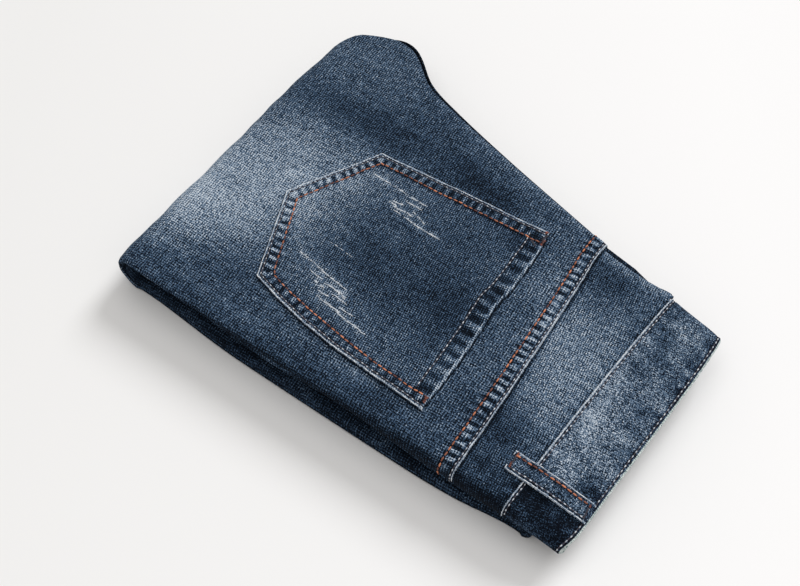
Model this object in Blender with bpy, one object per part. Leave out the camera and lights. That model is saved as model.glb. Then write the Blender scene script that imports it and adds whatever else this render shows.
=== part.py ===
"""A pair of blue jeans, folded in half down the back seam and then in three along the legs.

The right half lies on top with its back outwards: seat panel, yoke, waistband, back pocket and the
belt loop at the side. The legs turn under at the thigh, run back beneath the seat and turn up again
a little short of the waist. Lengths are in millimetres in the garment's own layout: `along` runs
from the thigh fold to the waist, `across` from the side edge to the centre back, and `up` from the
surface that the jeans lie on. The finished part is moved so that its origin is the middle of its
underside.
"""
import math

import bpy
from mathutils import Vector

MM = 0.001

# Cloth
DENIM = 1.5            # one wall of denim
BAND_WALL = 2.6        # waistband, denim turned double
BAND_PROUD = 0.6       # how far the band stands above the yoke
GAP = 0.3              # clearance between neighbouring pieces
LAYER_GAP = 0.6        # clearance round the hidden layers, inside the panels' turns
POCKET_WALL = 1.6
LOOP_WALL = 1.9

# The folded stack
STACK = 34.0           # height of the seat above the surface
SEAT_BASE = 19.3       # underside of the seat, on top of the folded legs
FOLD_RADIUS = STACK / 2
LEG_TURN = 8.3         # radius of the lower fold, where the legs turn back
LEG_END = 337.0        # how far the folded legs reach towards the waist
LEG_TOP = SEAT_BASE - GAP
FOLD_SLOT = FOLD_RADIUS + 3.0   # where the left seat starts to part from the folded legs
LEG_TOP_LOW = 2 * LEG_TURN     # the legs get thinner towards the waistband
LEG_THINS_AT = 255.0
LEG_THINS_OVER = 45.0

# Seams that cross the back, measured at the side edge and at SEAM_SPAN from it
SEAM_SPAN = 200.0
YOKE_SEAM = (280.0, 273.0)
WAIST_SEAM = (315.5, 330.5)
WAIST_EDGE = (358.5, 371.5)
LEFT_WAIST_SHORTER = 1.5       # the left half of the waistband lies a little short of the right
FRONT_DIP = 20.0               # the front waist is cut lower than the back
FRONT_DIP_START = 25.0
FRONT_REACH = 170.0            # from the side edge to the front edge of the band
WAIST_PRESS = 0.36             # the open end of the band is pressed flatter than its seam
WAIST_TAPER = 0.03             # and narrower than its seam
BAND_BACK_TURN = 6.0           # how far in the band starts to turn at the centre back

# Turned edges of the panels
EDGE_TURN = 5.0                # how far in an edge starts to turn
LEG_EDGE_DROP = 3.6            # half the height of a leg's turned edge
SEAT_EDGE_DROP = (STACK - SEAT_BASE) / 2 - GAP / 2
BACK_OF_EDGE = math.radians(-80)
CROTCH_LENGTH = 40.0           # the leg's turned edge becomes the seat seam over this length

# The centre-back line and the crotch, seen from above
SEAT_LINE = (
    # along, across
    (0.0, 247.0),
    (8.0, 258.0),
    (17.0, 266.5),
    (42.0, 280.0),
    (58.0, 280.0),
    (68.0, 273.5),
    (90.0, 256.0),
    (121.0, 244.5),
    (170.0, 230.5),
    (221.0, 216.0),
    (273.0, 203.5),
    (330.0, 192.0),
    (375.0, 182.0),
)

# Inner edge of the legs below the fold, along the underside
INSEAM_LINE = (
    # along, across
    (0.0, 247.0),
    (17.0, 244.0),
    (120.0, 233.0),
    (240.0, 216.0),
    (345.0, 202.0),
)

# Broad swells and hollows of the upper face
SWELLS = (
    # along, across, half length, half width, rise
    (165.0, 112.0, 120.0, 110.0, 1.3),
    (305.0, 110.0, 42.0, 95.0, -0.9),
    (60.0, 215.0, 60.0, 60.0, -0.8),
    (225.0, 45.0, 45.0, 30.0, 0.8),
    (120.0, 235.0, 60.0, 30.0, 0.7),
)
SWELL_MARGIN = 30.0            # they die away over this distance from an edge

# Back pocket: corners on the seat panel
POCKET = {
    "opening_side": (240.5, 24.6),
    "opening_back": (237.0, 184.8),
    "bottom_side": (94.8, 41.9),
    "bottom_back": (100.6, 175.3),
    "point": (66.9, 108.6),
}
POCKET_ROWS = 12
POCKET_COLUMNS = 12

# Belt loop at the side
LOOP_START = 305.0
LOOP_ACROSS = (21.6, 35.1)     # its two long edges at the yoke end
LOOP_RISE = 1.6
LOOP_TURN = 2.5                # how far the loop turns down over the waist edge

# Layers that show between the seat and the underside, as rounded ridges along the edge
LAYER_RIDGES = 3
RIDGE_IN = 6.2
RIDGE_OUT = 1.5
RIDGE_STEPS = 3
RIDGE_START = SEAT_EDGE_DROP + LAYER_GAP
RIDGES_MOST = 0.55             # largest share of the thickness left plain below the ridges
RIDGES_END = 0.985

# Rows and columns of points
SIDE_STEPS = 5
FLAT_STEPS = 8
BACK_STEPS = 5
SEAT_ROWS = 21
FOLD_ROWS = 10
LEG_ROWS = 11
TURN_ROWS = 8
YOKE_ROWS = 4
LAYER_COLUMNS = 8
BAND_BACK_ROWS = 10
BAND_FRONT_ROWS = 9
BAND_TURN_ROWS = 7
BAND_COLUMNS = 4
LOOP_ROWS = 11
LOOP_COLUMNS = 3

DENIM_BLUE = (0.040, 0.068, 0.115, 1.0)
DENIM_FADED = (0.085, 0.125, 0.180, 1.0)
DENIM_DARK = (0.016, 0.026, 0.045, 1.0)


def clamp(value):
    return max(0.0, min(1.0, value))


def ease(value):
    """Nought to one with a soft start and a soft end."""
    part = clamp(value)
    return part * part * (3.0 - 2.0 * part)


def between(pair, part):
    return pair[0] + (pair[1] - pair[0]) * part


def steps(first, last, count):
    return [first + (last - first) * i / (count - 1) for i in range(count)]


def read_line(table, along):
    """A smooth curve through the rows of a two-column table."""
    last = len(table) - 2
    row = 0
    while row < last and table[row + 1][0] < along:
        row += 1
    (x0, y0), (x1, y1) = table[row], table[row + 1]

    def slope(i):
        low = table[max(i - 1, 0)]
        high = table[min(i + 1, len(table) - 1)]
        return (high[1] - low[1]) / (high[0] - low[0])

    width = x1 - x0
    t = clamp((along - x0) / width)
    return ((2 * t**3 - 3 * t**2 + 1) * y0 + (t**3 - 2 * t**2 + t) * width * slope(row)
            + (3 * t**2 - 2 * t**3) * y1 + (t**3 - t**2) * width * slope(row + 1))


def swell(along, across):
    total = 0.0
    for x, y, half_length, half_width, rise in SWELLS:
        reach = math.hypot((along - x) / half_length, (across - y) / half_width)
        total += rise * ease(1.0 - reach)
    return total


def seat_height(along, across):
    """Height of the upper face of the seat and yoke, level along its edges."""
    from_edges = min(along - FOLD_RADIUS, across - EDGE_TURN,
                     read_line(SEAT_LINE, along) - EDGE_TURN - across)
    return STACK + swell(along, across) * ease(from_edges / SWELL_MARGIN)


# ---------------------------------------------------------------- closed walls from rows of points

def material(name, colour, roughness):
    made = bpy.data.materials.new(name)
    made.use_nodes = True
    shader = made.node_tree.nodes["Principled BSDF"]
    shader.inputs["Base Color"].default_value = colour
    shader.inputs["Roughness"].default_value = roughness
    shader.inputs["Metallic"].default_value = 0.0
    return made


def add_solid(name, loops, finish):
    """Close a row of equal loops of points into one body, with both ends capped."""
    size = len(loops[0])
    points = [Vector(point) * MM for loop in loops for point in loop]
    faces = []
    for row in range(len(loops) - 1):
        for i in range(size):
            j = (i + 1) % size
            low, high = row * size, (row + 1) * size
            faces.append((low + i, low + j, high + j, high + i))
    half = size // 2
    for base in (0, (len(loops) - 1) * size):
        for i in range(half - 1):
            cap = (base + i, base + i + 1, base + size - 2 - i, base + size - 1 - i)
            faces.append(cap if base else cap[::-1])
    mesh = bpy.data.meshes.new(name)
    mesh.from_pydata(points, [], faces)
    mesh.materials.append(finish)
    body = bpy.data.objects.new(name, mesh)
    bpy.context.collection.objects.link(body)
    if signed_volume(mesh) < 0.0:
        mesh.flip_normals()
    mesh.shade_smooth()
    mesh.set_sharp_from_angle(angle=math.radians(40))
    return body


def signed_volume(mesh):
    total = 0.0
    for face in mesh.polygons:
        corners = [mesh.vertices[i].co for i in face.vertices]
        for i in range(1, len(corners) - 1):
            total += corners[0].dot(corners[i].cross(corners[i + 1]))
    return total


def wall_loops(outer, inner):
    """Loops round a wall, from its outer rows of points and its inner ones."""
    return [list(a) + list(reversed(b)) for a, b in zip(outer, inner)]


# ---------------------------------------------------------------- panels with turned edges

def edge_arc(turn, drop, start, end, count, wall):
    """Points (inwards from the edge, down from the face) of a turned edge."""
    rows = []
    for angle in steps(start, end, count):
        inwards = turn - (turn - wall) * math.cos(angle)
        down = drop - (drop - wall) * math.sin(angle)
        rows.append((inwards, down))
    return rows


def panel_section(edge_across, leg, wall, side_across=0.0):
    """Section of a back panel: (across, drop) from the side edge to the centre back.

    leg is 1 where the far edge is a leg's turned edge and 0 where it meets the seat seam.
    """
    rows = []
    for inwards, down in edge_arc(EDGE_TURN, LEG_EDGE_DROP, BACK_OF_EDGE, math.pi / 2, SIDE_STEPS, wall):
        rows.append((side_across + inwards, down))
    near = side_across + EDGE_TURN
    far = edge_across - EDGE_TURN
    for across in steps(near, far, FLAT_STEPS + 1)[1:-1]:
        rows.append((across, wall))
    far_drop = SEAT_EDGE_DROP / (1.0 - math.sin(BACK_OF_EDGE * leg))
    for inwards, down in edge_arc(EDGE_TURN, far_drop, math.pi / 2, BACK_OF_EDGE * leg, BACK_STEPS, wall):
        rows.append((edge_across - inwards, down))
    return rows


def seam_at(seam, across):
    """Where a seam that crosses the back lies, at one place across it."""
    return between(seam, across / SEAM_SPAN)


def seat_row(place, wall, part, face):
    """One row across the seat; place(across, part) gives the point's place along it."""
    along_middle = place(SEAM_SPAN / 2, part)
    edge = read_line(SEAT_LINE, along_middle)
    leg = 1.0 - ease((along_middle - FOLD_RADIUS) / CROTCH_LENGTH)
    row = []
    for across, drop in panel_section(edge, leg, wall):
        along = place(across, part)
        row.append((along, across, face(along, across, drop)))
    return row


def upper_face(along, across, drop):
    return seat_height(along, across) - drop


def lower_face(along, across, drop):
    """The left half lies face down under the seat."""
    return SEAT_BASE + drop


def leg_row(along, up, tilt, edge, wall):
    """A row across the leg, where the face looks along the direction given by tilt."""
    out = (math.sin(tilt), math.cos(tilt))
    row = []
    for across, drop in panel_section(edge, 1.0, wall):
        row.append((along - out[0] * drop, across, up - out[1] * drop))
    return row


def fold_path():
    """Stations (along, up, tilt, inner edge) round the thigh fold, underneath and up at the end."""
    stations = []
    for tilt in steps(0.0, -math.pi, FOLD_ROWS)[1:-1]:
        along = FOLD_RADIUS + FOLD_RADIUS * math.sin(tilt)
        up = FOLD_RADIUS + FOLD_RADIUS * math.cos(tilt)
        table = SEAT_LINE if tilt > -math.pi / 2 else INSEAM_LINE
        stations.append((along, up, tilt, read_line(table, along)))
    turn_at = LEG_END - LEG_TURN
    for along in steps(FOLD_RADIUS, turn_at, LEG_ROWS):
        stations.append((along, 0.0, -math.pi, read_line(INSEAM_LINE, along)))
    for tilt in steps(-math.pi, -2 * math.pi, TURN_ROWS)[1:]:
        along = turn_at - LEG_TURN * math.sin(-tilt)
        up = LEG_TURN + LEG_TURN * math.cos(tilt)
        stations.append((along, up, tilt, read_line(INSEAM_LINE, along)))
    return stations


def seat_place(end):
    """Places from the yoke seam down to the end of a seat panel."""
    def place(across, part):
        return between((seam_at(YOKE_SEAM, across) - GAP / 2, end), part)
    return place


def yoke_place(across, part):
    return between((seam_at(YOKE_SEAM, across) + GAP / 2, seam_at(WAIST_SEAM, across) - GAP / 2), part)


def back_panel_right(finish):
    """Seat and leg in one length: over the seat, round the thigh fold and along the underside."""
    place = seat_place(FOLD_RADIUS)
    faces = []
    for wall in (0.0, DENIM):
        rows = [seat_row(place, wall, part, upper_face) for part in steps(0.0, 1.0, SEAT_ROWS)]
        rows += [leg_row(along, up, tilt, edge, wall) for along, up, tilt, edge in fold_path()]
        faces.append(rows)
    return add_solid("back_panel_right", wall_loops(*faces), finish)


def back_panel_left(finish):
    """The left seat, face down, from its yoke to the thigh fold."""
    place = seat_place(FOLD_SLOT + GAP * 2)
    faces = [[seat_row(place, wall, part, lower_face) for part in steps(0.0, 1.0, SEAT_ROWS)]
             for wall in (0.0, DENIM)]
    return add_solid("back_panel_left", wall_loops(*faces), finish)


def yoke(name, face, finish):
    faces = [[seat_row(yoke_place, wall, part, face) for part in steps(0.0, 1.0, YOKE_ROWS)]
             for wall in (0.0, DENIM)]
    return add_solid(name, wall_loops(*faces), finish)


# ---------------------------------------------------------------- hidden layers

def ridges(first, last):
    """(share of the thickness, share of the ridge) up an edge made of rounded layers."""
    rows = []
    for ridge in range(LAYER_RIDGES):
        for step in range(RIDGE_STEPS + 1):
            if step == RIDGE_STEPS and ridge < LAYER_RIDGES - 1:
                continue
            share = (ridge + step / RIDGE_STEPS) / LAYER_RIDGES
            rows.append((first + (last - first) * share, math.sin(math.pi * step / RIDGE_STEPS)))
    return rows


def core_loop(outer, inner, edge, bulge, face=None):
    """Loop round the hidden layers between an outer and an inner point (along, up)."""
    thick = math.hypot(outer[0] - inner[0], outer[1] - inner[1])
    first = min(RIDGE_START / thick, RIDGES_MOST)

    def place(share, across):
        along = outer[0] + (inner[0] - outer[0]) * share
        up = outer[1] + (inner[1] - outer[1]) * share
        return (along, across, up)

    near = RIDGE_IN
    far = edge - RIDGE_IN
    reach = (RIDGE_IN - RIDGE_OUT) * bulge
    side = ridges(first, RIDGES_END)
    loop = [place(0.0, across) for across in steps(near, far, LAYER_COLUMNS)]
    if face:
        loop = [(along, across, face(along, across)) for along, across, up in loop]
    loop += [place(share, far + reach * height) for share, height in side]
    loop += [place(1.0, across) for across in steps(far, near, LAYER_COLUMNS)]
    loop += [place(share, near - reach * height) for share, height in reversed(side)]
    return loop


def folded_layers(finish):
    """Fronts, left leg and turned-up legs as one rounded solid between the back panels."""
    skin = DENIM + LAYER_GAP
    slot_top = SEAT_BASE + skin

    def under_seat(along, across):
        return seat_height(along, across) - skin

    loops = []
    fronts_end = WAIST_SEAM[0] - FRONT_DIP - LAYER_GAP
    for along in steps(fronts_end, FOLD_RADIUS, SEAT_ROWS):
        edge = read_line(SEAT_LINE, along)
        inner = (max(along, FOLD_SLOT), slot_top)
        loops.append(core_loop((along, STACK - skin), inner, edge, 0.0, under_seat))
    radius = FOLD_RADIUS - skin
    seat_edge, leg_edge = read_line(SEAT_LINE, FOLD_RADIUS), read_line(INSEAM_LINE, FOLD_RADIUS)
    for tilt in steps(0.0, -math.pi, FOLD_ROWS)[1:-1]:
        along = FOLD_RADIUS + radius * math.sin(tilt)
        up = FOLD_RADIUS + radius * math.cos(tilt)
        share = -tilt / math.pi
        edge = min(between((seat_edge, leg_edge), share), read_line(INSEAM_LINE, 0.0))
        inner = (FOLD_SLOT, between((slot_top, LEG_TOP), share))
        loops.append(core_loop((along, up), inner, edge, ease(share)))
    turn_at = LEG_END - LEG_TURN
    for along in steps(FOLD_RADIUS, turn_at, LEG_ROWS):
        top = between((LEG_TOP, LEG_TOP_LOW - skin), ease((along - LEG_THINS_AT) / LEG_THINS_OVER))
        bulge = 1.0 - ease((along - turn_at + LEG_TURN * 3) / (LEG_TURN * 2))
        inner = (max(along, FOLD_SLOT), top)
        loops.append(core_loop((along, skin), inner, read_line(INSEAM_LINE, along), bulge))
    inside = LEG_TURN - skin
    for turn in (math.radians(25), math.radians(50)):
        along = turn_at + inside * math.sin(turn)
        half = inside * math.cos(turn)
        edge = read_line(INSEAM_LINE, along)
        loops.append(core_loop((along, LEG_TURN - half), (along, LEG_TURN + half), edge, 0.0))
    return add_solid("folded_layers", loops, finish)


# ---------------------------------------------------------------- waistband

def band_route():
    """Middle line of the band from front to front: (across, up, lean, dip, shorter).

    lean is 1 where the band follows the slope of the back waist and 0 on the fronts, dip is how
    much lower the fronts are cut, and shorter is how far the left back lies short of the right.
    """
    top = STACK + BAND_PROUD - BAND_WALL / 2
    bottom = SEAT_BASE + BAND_WALL / 2
    spacing = (top - bottom) / 3
    turn = spacing / 2
    near = BAND_WALL / 2 + turn
    far = read_line(SEAT_LINE, WAIST_SEAM[1]) - BAND_WALL / 2 - BAND_BACK_TURN
    middle = (top + bottom) / 2

    def front(across, up):
        dip = FRONT_DIP * max(across - FRONT_DIP_START, 0.0) / (FRONT_REACH - FRONT_DIP_START)
        return across, up, float(dip == 0.0), dip, 0.0

    def side_turn(base, shorter_share):
        rows = []
        for angle in steps(-math.pi / 2, math.pi / 2, BAND_TURN_ROWS)[1:-1]:
            across = near - turn * math.cos(angle)
            up = base + turn + turn * math.sin(angle)
            shorter = LEFT_WAIST_SHORTER * shorter_share * (0.5 - math.sin(angle) / 2)
            rows.append((across, up, 1.0, 0.0, shorter))
        return rows

    route = [front(across, top - spacing) for across in steps(FRONT_REACH, near, BAND_FRONT_ROWS)]
    route += side_turn(top - spacing, 0.0)
    route += [(across, top, 1.0, 0.0, 0.0) for across in steps(near, far, BAND_BACK_ROWS)]
    for angle in steps(math.pi / 2, -math.pi / 2, BAND_TURN_ROWS)[1:-1]:
        across = far + BAND_BACK_TURN * math.cos(angle)
        up = middle + (top - middle) * math.sin(angle)
        route.append((across, up, 1.0, 0.0, LEFT_WAIST_SHORTER * (0.5 - math.sin(angle) / 2)))
    route += [(across, bottom, 1.0, 0.0, LEFT_WAIST_SHORTER)
              for across in steps(far, near, BAND_BACK_ROWS)]
    route += side_turn(bottom, 1.0)
    route += [front(across, bottom + spacing) for across in steps(near, FRONT_REACH, BAND_FRONT_ROWS)]
    return route


def press(up, part):
    """The band gets flatter from its seam to its open edge."""
    return SEAT_BASE + (up - SEAT_BASE) * (1.0 - WAIST_PRESS * ease(part))


def waistband(finish):
    route = band_route()
    loops = []
    for i, (across, up, lean, dip, shorter) in enumerate(route):
        before = route[max(i - 1, 0)]
        after = route[min(i + 1, len(route) - 1)]
        run = Vector((after[0] - before[0], after[1] - before[1])).normalized()
        out = Vector((-run.y, run.x)) * BAND_WALL / 2
        faces = []
        for side in (1.0, -1.0):
            face = []
            for part in steps(0.0, 1.0, BAND_COLUMNS):
                place = across + out.x * side
                low = seam_at(WAIST_SEAM, place * lean) + GAP / 2 - dip
                high = seam_at(WAIST_EDGE, place * lean) - shorter - dip
                taper = 1.0 - WAIST_TAPER * part
                face.append((between((low, high), part), place * taper, press(up + out.y * side, part)))
            faces.append(face)
        loops.append(faces[0] + faces[1][::-1])
    return add_solid("waistband", loops, finish)


# ---------------------------------------------------------------- pocket and belt loops

def pocket_point(across_part, down_part):
    """A point of the pocket, from its opening down to its pointed bottom."""
    opening = Vector(POCKET["opening_side"]).lerp(Vector(POCKET["opening_back"]), across_part)
    point = Vector(POCKET["point"])
    if across_part < 0.5:
        bottom = Vector(POCKET["bottom_side"]).lerp(point, across_part * 2)
    else:
        bottom = point.lerp(Vector(POCKET["bottom_back"]), across_part * 2 - 1)
    return opening.lerp(bottom, down_part)


def back_pocket(finish):
    faces = []
    for lift in (GAP + POCKET_WALL, GAP):
        rows = []
        for down in steps(0.0, 1.0, POCKET_ROWS + 1):
            row = []
            for part in steps(0.0, 1.0, POCKET_COLUMNS + 1):
                along, across = pocket_point(part, down)
                row.append((along, across, seat_height(along, across) + lift))
            rows.append(row)
        faces.append(rows)
    return add_solid("back_pocket_right", wall_loops(*faces), finish)


def loop_chains(across, under):
    """Outer and inner points along a belt loop at one place across it."""
    seam = seam_at(WAIST_SEAM, across)
    edge = seam_at(WAIST_EDGE, across) - (LEFT_WAIST_SHORTER if under else 0.0)
    away = -1.0 if under else 1.0
    rise = 0.0 if under else LOOP_RISE
    face = SEAT_BASE - GAP if under else STACK + BAND_PROUD + GAP
    outer, inner = [], []
    for part in steps(0.0, 1.0, LOOP_ROWS):
        along = between((LOOP_START, edge + GAP), part)
        lie = press(face, (along - seam) / (edge - seam)) + away * rise * math.sin(math.pi * part)
        outer.append((along + LOOP_WALL * (part == 1.0), across, lie + away * LOOP_WALL))
        inner.append((along, across, lie))
    turned = inner[-1][2] - away * LOOP_TURN
    outer.append((outer[-1][0], across, turned))
    inner.append((inner[-1][0], across, turned))
    return outer, inner


def belt_loop(name, under, finish):
    """A flat loop from the yoke to the waist edge, with its end turned over the edge."""
    chains = [loop_chains(across, under) for across in steps(*LOOP_ACROSS, LOOP_COLUMNS)]
    outer = list(zip(*[chain[0] for chain in chains]))
    inner = list(zip(*[chain[1] for chain in chains]))
    return add_solid(name, wall_loops(outer, inner), finish)


# ---------------------------------------------------------------- the whole garment

def set_on_origin(pieces):
    """Move every piece so that the middle of the underside is the origin."""
    points = [vertex.co for piece in pieces for vertex in piece.data.vertices]
    low = [min(point[i] for point in points) for i in range(3)]
    high = [max(point[i] for point in points) for i in range(3)]
    shift = Vector(((low[0] + high[0]) / 2, (low[1] + high[1]) / 2, low[2]))
    for piece in pieces:
        for vertex in piece.data.vertices:
            vertex.co = vertex.co - shift


def main():
    for old in list(bpy.data.objects):
        bpy.data.objects.remove(old, do_unlink=True)
    denim = material("denim", DENIM_BLUE, 0.88)
    faded = material("denim_faded", DENIM_FADED, 0.86)
    dark = material("denim_dark", DENIM_DARK, 0.92)
    pieces = [
        back_panel_right(denim),
        yoke("yoke_right", upper_face, faded),
        back_panel_left(denim),
        yoke("yoke_left", lower_face, denim),
        folded_layers(dark),
        waistband(faded),
        back_pocket(denim),
        belt_loop("belt_loop_right", False, faded),
        belt_loop("belt_loop_left", True, denim),
    ]
    set_on_origin(pieces)


main()
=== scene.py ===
"""Washed blue jeans with scraped patches, folded in half down the back seam and then in three.

Lengths are in millimetres in the garment's own layout, as a tailor reads it lying folded: `along`
runs from the thigh fold to the waist, `across` from the side edge to the centre back, and `up` from
the floor. in_frame() turns them into metres in the frame.
"""
import math

import bpy
import numpy as np
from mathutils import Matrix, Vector


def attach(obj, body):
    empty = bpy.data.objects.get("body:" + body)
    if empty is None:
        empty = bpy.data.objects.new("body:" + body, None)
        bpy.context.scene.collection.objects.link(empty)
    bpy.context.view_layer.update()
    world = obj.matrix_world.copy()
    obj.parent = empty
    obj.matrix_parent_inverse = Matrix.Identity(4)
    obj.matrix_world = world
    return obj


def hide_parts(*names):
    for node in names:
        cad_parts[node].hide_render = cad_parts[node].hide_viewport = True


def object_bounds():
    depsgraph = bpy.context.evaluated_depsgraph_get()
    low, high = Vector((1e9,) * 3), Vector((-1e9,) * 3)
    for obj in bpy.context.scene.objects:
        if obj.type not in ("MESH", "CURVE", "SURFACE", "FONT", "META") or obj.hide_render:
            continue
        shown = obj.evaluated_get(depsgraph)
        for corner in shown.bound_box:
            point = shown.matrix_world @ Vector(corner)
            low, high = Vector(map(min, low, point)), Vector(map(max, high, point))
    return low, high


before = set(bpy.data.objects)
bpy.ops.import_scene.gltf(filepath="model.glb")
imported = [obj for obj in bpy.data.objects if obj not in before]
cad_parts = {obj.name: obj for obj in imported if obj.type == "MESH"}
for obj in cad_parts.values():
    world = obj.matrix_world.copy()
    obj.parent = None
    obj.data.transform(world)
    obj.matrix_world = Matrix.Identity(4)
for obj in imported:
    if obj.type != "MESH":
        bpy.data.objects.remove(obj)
CAD_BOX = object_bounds()
CORNER = np.array(CAD_BOX[0])
MM = 0.001
UPWARD = (0.0, 0.0, 1.0)
DOWNWARD = (0.0, 0.0, -1.0)

# ---------------------------------------------------------------- the folded garment, in millimetres

STACK = 34.0                    # height of the seat above the floor
SEAT_BASE = 19.3                # underside of the seat, on top of the folded legs
SEAT_THICK = STACK - SEAT_BASE
FOLD_RADIUS = 17.0              # thigh fold
FOLD_FAR = 244.0                # across, where the thigh fold's far end meets the underside
LEG_TURN = 8.3                  # lower fold, where the legs turn back
LEG_END = 337.0
TURN_AT = LEG_END - LEG_TURN
LEG_TOP = 19.0                  # top of the turned-up legs near the thigh fold
LEGS_START = 27.0               # where the turned-up legs end in their hems
CLOTH = 1.15                    # denim
BAND_WALL = 2.6                 # waistband, denim turned double
BAND_DEPTH = 41.6               # waistband, from its seam to its edge
SEAM_SPAN = 200.0
# Seams across the back: at the side edge and at SEAM_SPAN from it, and how they bow between
YOKE_SEAM = (280.0, 273.0, ((0, 0.3), (12, 0.5), (50, 1.1), (75, 1.2), (100, 0.9), (137, 0.7), (169, 0.0),
                            (185, -0.75), (203, 0.4)))
WAIST_SEAM = (315.5, 330.5, ((0, 0.0), (36, -0.4), (80, -1.3), (120, -1.5), (160, -1.2), (190, -0.5)))
WAIST_EDGE = (359.4, 372.8, ((0, -3.0), (6, -1.2), (14, 0.0), (40, 0.2), (145, 0.0), (180, -1.2),
                             (200, -2.0)))
FRONT_DIP = 20.0                # the front waist is cut lower
LEFT_SHORTER = 3.2              # the left half of the band lies a little short of the right
WAIST_PRESS = 0.22              # the open end of the band is pressed flatter than its seam
WAIST_TAPER = 0.028             # and the band narrows by this share up to its edge
SAG = 5.0                       # how far the end of the band hangs, past the folded legs

SEAT_LINE = (                   # centre-back line and crotch: along, across
    (0.0, 247.0), (8.0, 258.0), (17.0, 266.5), (42.0, 278.3), (57.0, 278.0), (68.0, 272.3),
    (90.0, 254.8), (121.0, 243.4), (170.0, 229.8), (221.0, 216.6), (273.0, 203.6),
    (330.0, 192.0), (375.0, 182.0))
YOKE_FAR = ((273.0, 201.2), (285.0, 198.6), (310.0, 194.6), (320.0, 194.2), (331.0, 194.0))
INSEAM_LINE = ((0.0, 247.0), (17.0, 244.0), (120.0, 233.0), (240.0, 216.0), (300.0, 207.5), (318.0, 203.5),
               (330.0, 196.5), (345.0, 188.0))

# Folded side edge of the seat, by place along: half height of the roll, drop of the outer seam
# below the face, how far in the roll starts
SIDE_ROLL = ((17, 2.1), (60, 2.5), (120, 3.3), (200, 4.8), (230, 7.0), (262, 9.6), (375, 10.2))
SIDE_SEAM = ((17, 1.5), (60, 2.9), (120, 5.3), (200, 8.6), (230, 12.4), (262, 17.0), (375, 18.4))
SIDE_TURN = ((17, 4.2), (120, 5.0), (230, 6.0), (375, 7.0))
FRONT_DEPTH = ((17, 4.2), (127, 7.0), (375, 7.4))            # right front below the seat's face
LEFT_DEPTH = ((17, 9.2), (60, 10.6), (120, 13.0), (190, 14.7), (375, 14.7))   # left back
LEFT_INSET = ((17, 3.0), (70, 2.5), (110, 0.6), (150, 0.8), (200, 5.0), (375, 9.0))
# Legs below the fold: how far their side edge stands in from the seat's
UNDER_INSET = ((17, 1.6), (34, 1.4), (56, 0.0), (90, -2.2), (120, -2.9), (250, -2.4), (285, -0.6), (312, 3.0),
               (326, 3.8), (345, 2.0))
TURNED_INSET = ((17, 7.0), (90, 6.2), (170, 7.4), (250, 3.4), (345, 2.5))
LEG_ROLL = 2.15                 # half height of a folded leg's rolled edge
LEG_SEAM = 3.7                  # drop of its outer seam below its face
LEG_FRONT = 4.3                 # depth of the right front in it
LEG_LEFT = 9.2                  # depth of the left back in it
LEG_EDGE = 3.4                  # how far in its roll starts
CLEAR = 0.4                     # air between two layers

SWELLS = (                      # along, across, half length, half width, rise
    (165.0, 112.0, 120.0, 110.0, 1.3), (305.0, 110.0, 42.0, 95.0, -0.9),
    (60.0, 215.0, 60.0, 60.0, -0.8), (225.0, 45.0, 45.0, 30.0, 0.8), (120.0, 235.0, 60.0, 30.0, 0.7))

# Creases: from (along, across) to (along, across), half width, rise
CREASES = (
    (150, 15, 262, 14, 4.5, -0.9), (170, 5, 268, 6, 4.0, 0.5), (290, 21, 314, 12, 4.0, -0.9),
    (297, 30, 318, 20, 4.0, 0.7), (286, 12, 304, 4, 3.5, 0.6), (250, 24, 292, 38, 5.0, -0.6),
    (258, 12, 290, 24, 4.0, 0.6), (66, 266, 118, 226, 7.0, 0.8), (72, 252, 128, 208, 6.0, -0.7),
    (84, 262, 150, 214, 6.0, 0.6), (46, 262, 92, 196, 9.0, 0.5), (60, 236, 104, 186, 8.0, -0.5),
    (26, 30, 108, 22, 7.0, -0.5), (34, 92, 66, 150, 12.0, 0.4), (24, 200, 60, 176, 11.0, -0.4),
    (182, 206, 246, 196, 6.0, 0.5), (176, 196, 232, 190, 5.0, -0.5), (116, 26, 160, 33, 6.0, 0.5),
    (284, 150, 318, 176, 7.0, -0.5), (288, 60, 306, 96, 9.0, 0.4))

BARE_TONE = 0.215               # of the plain washed cloth
RAW_TONE = -0.05                # of raw indigo
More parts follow.
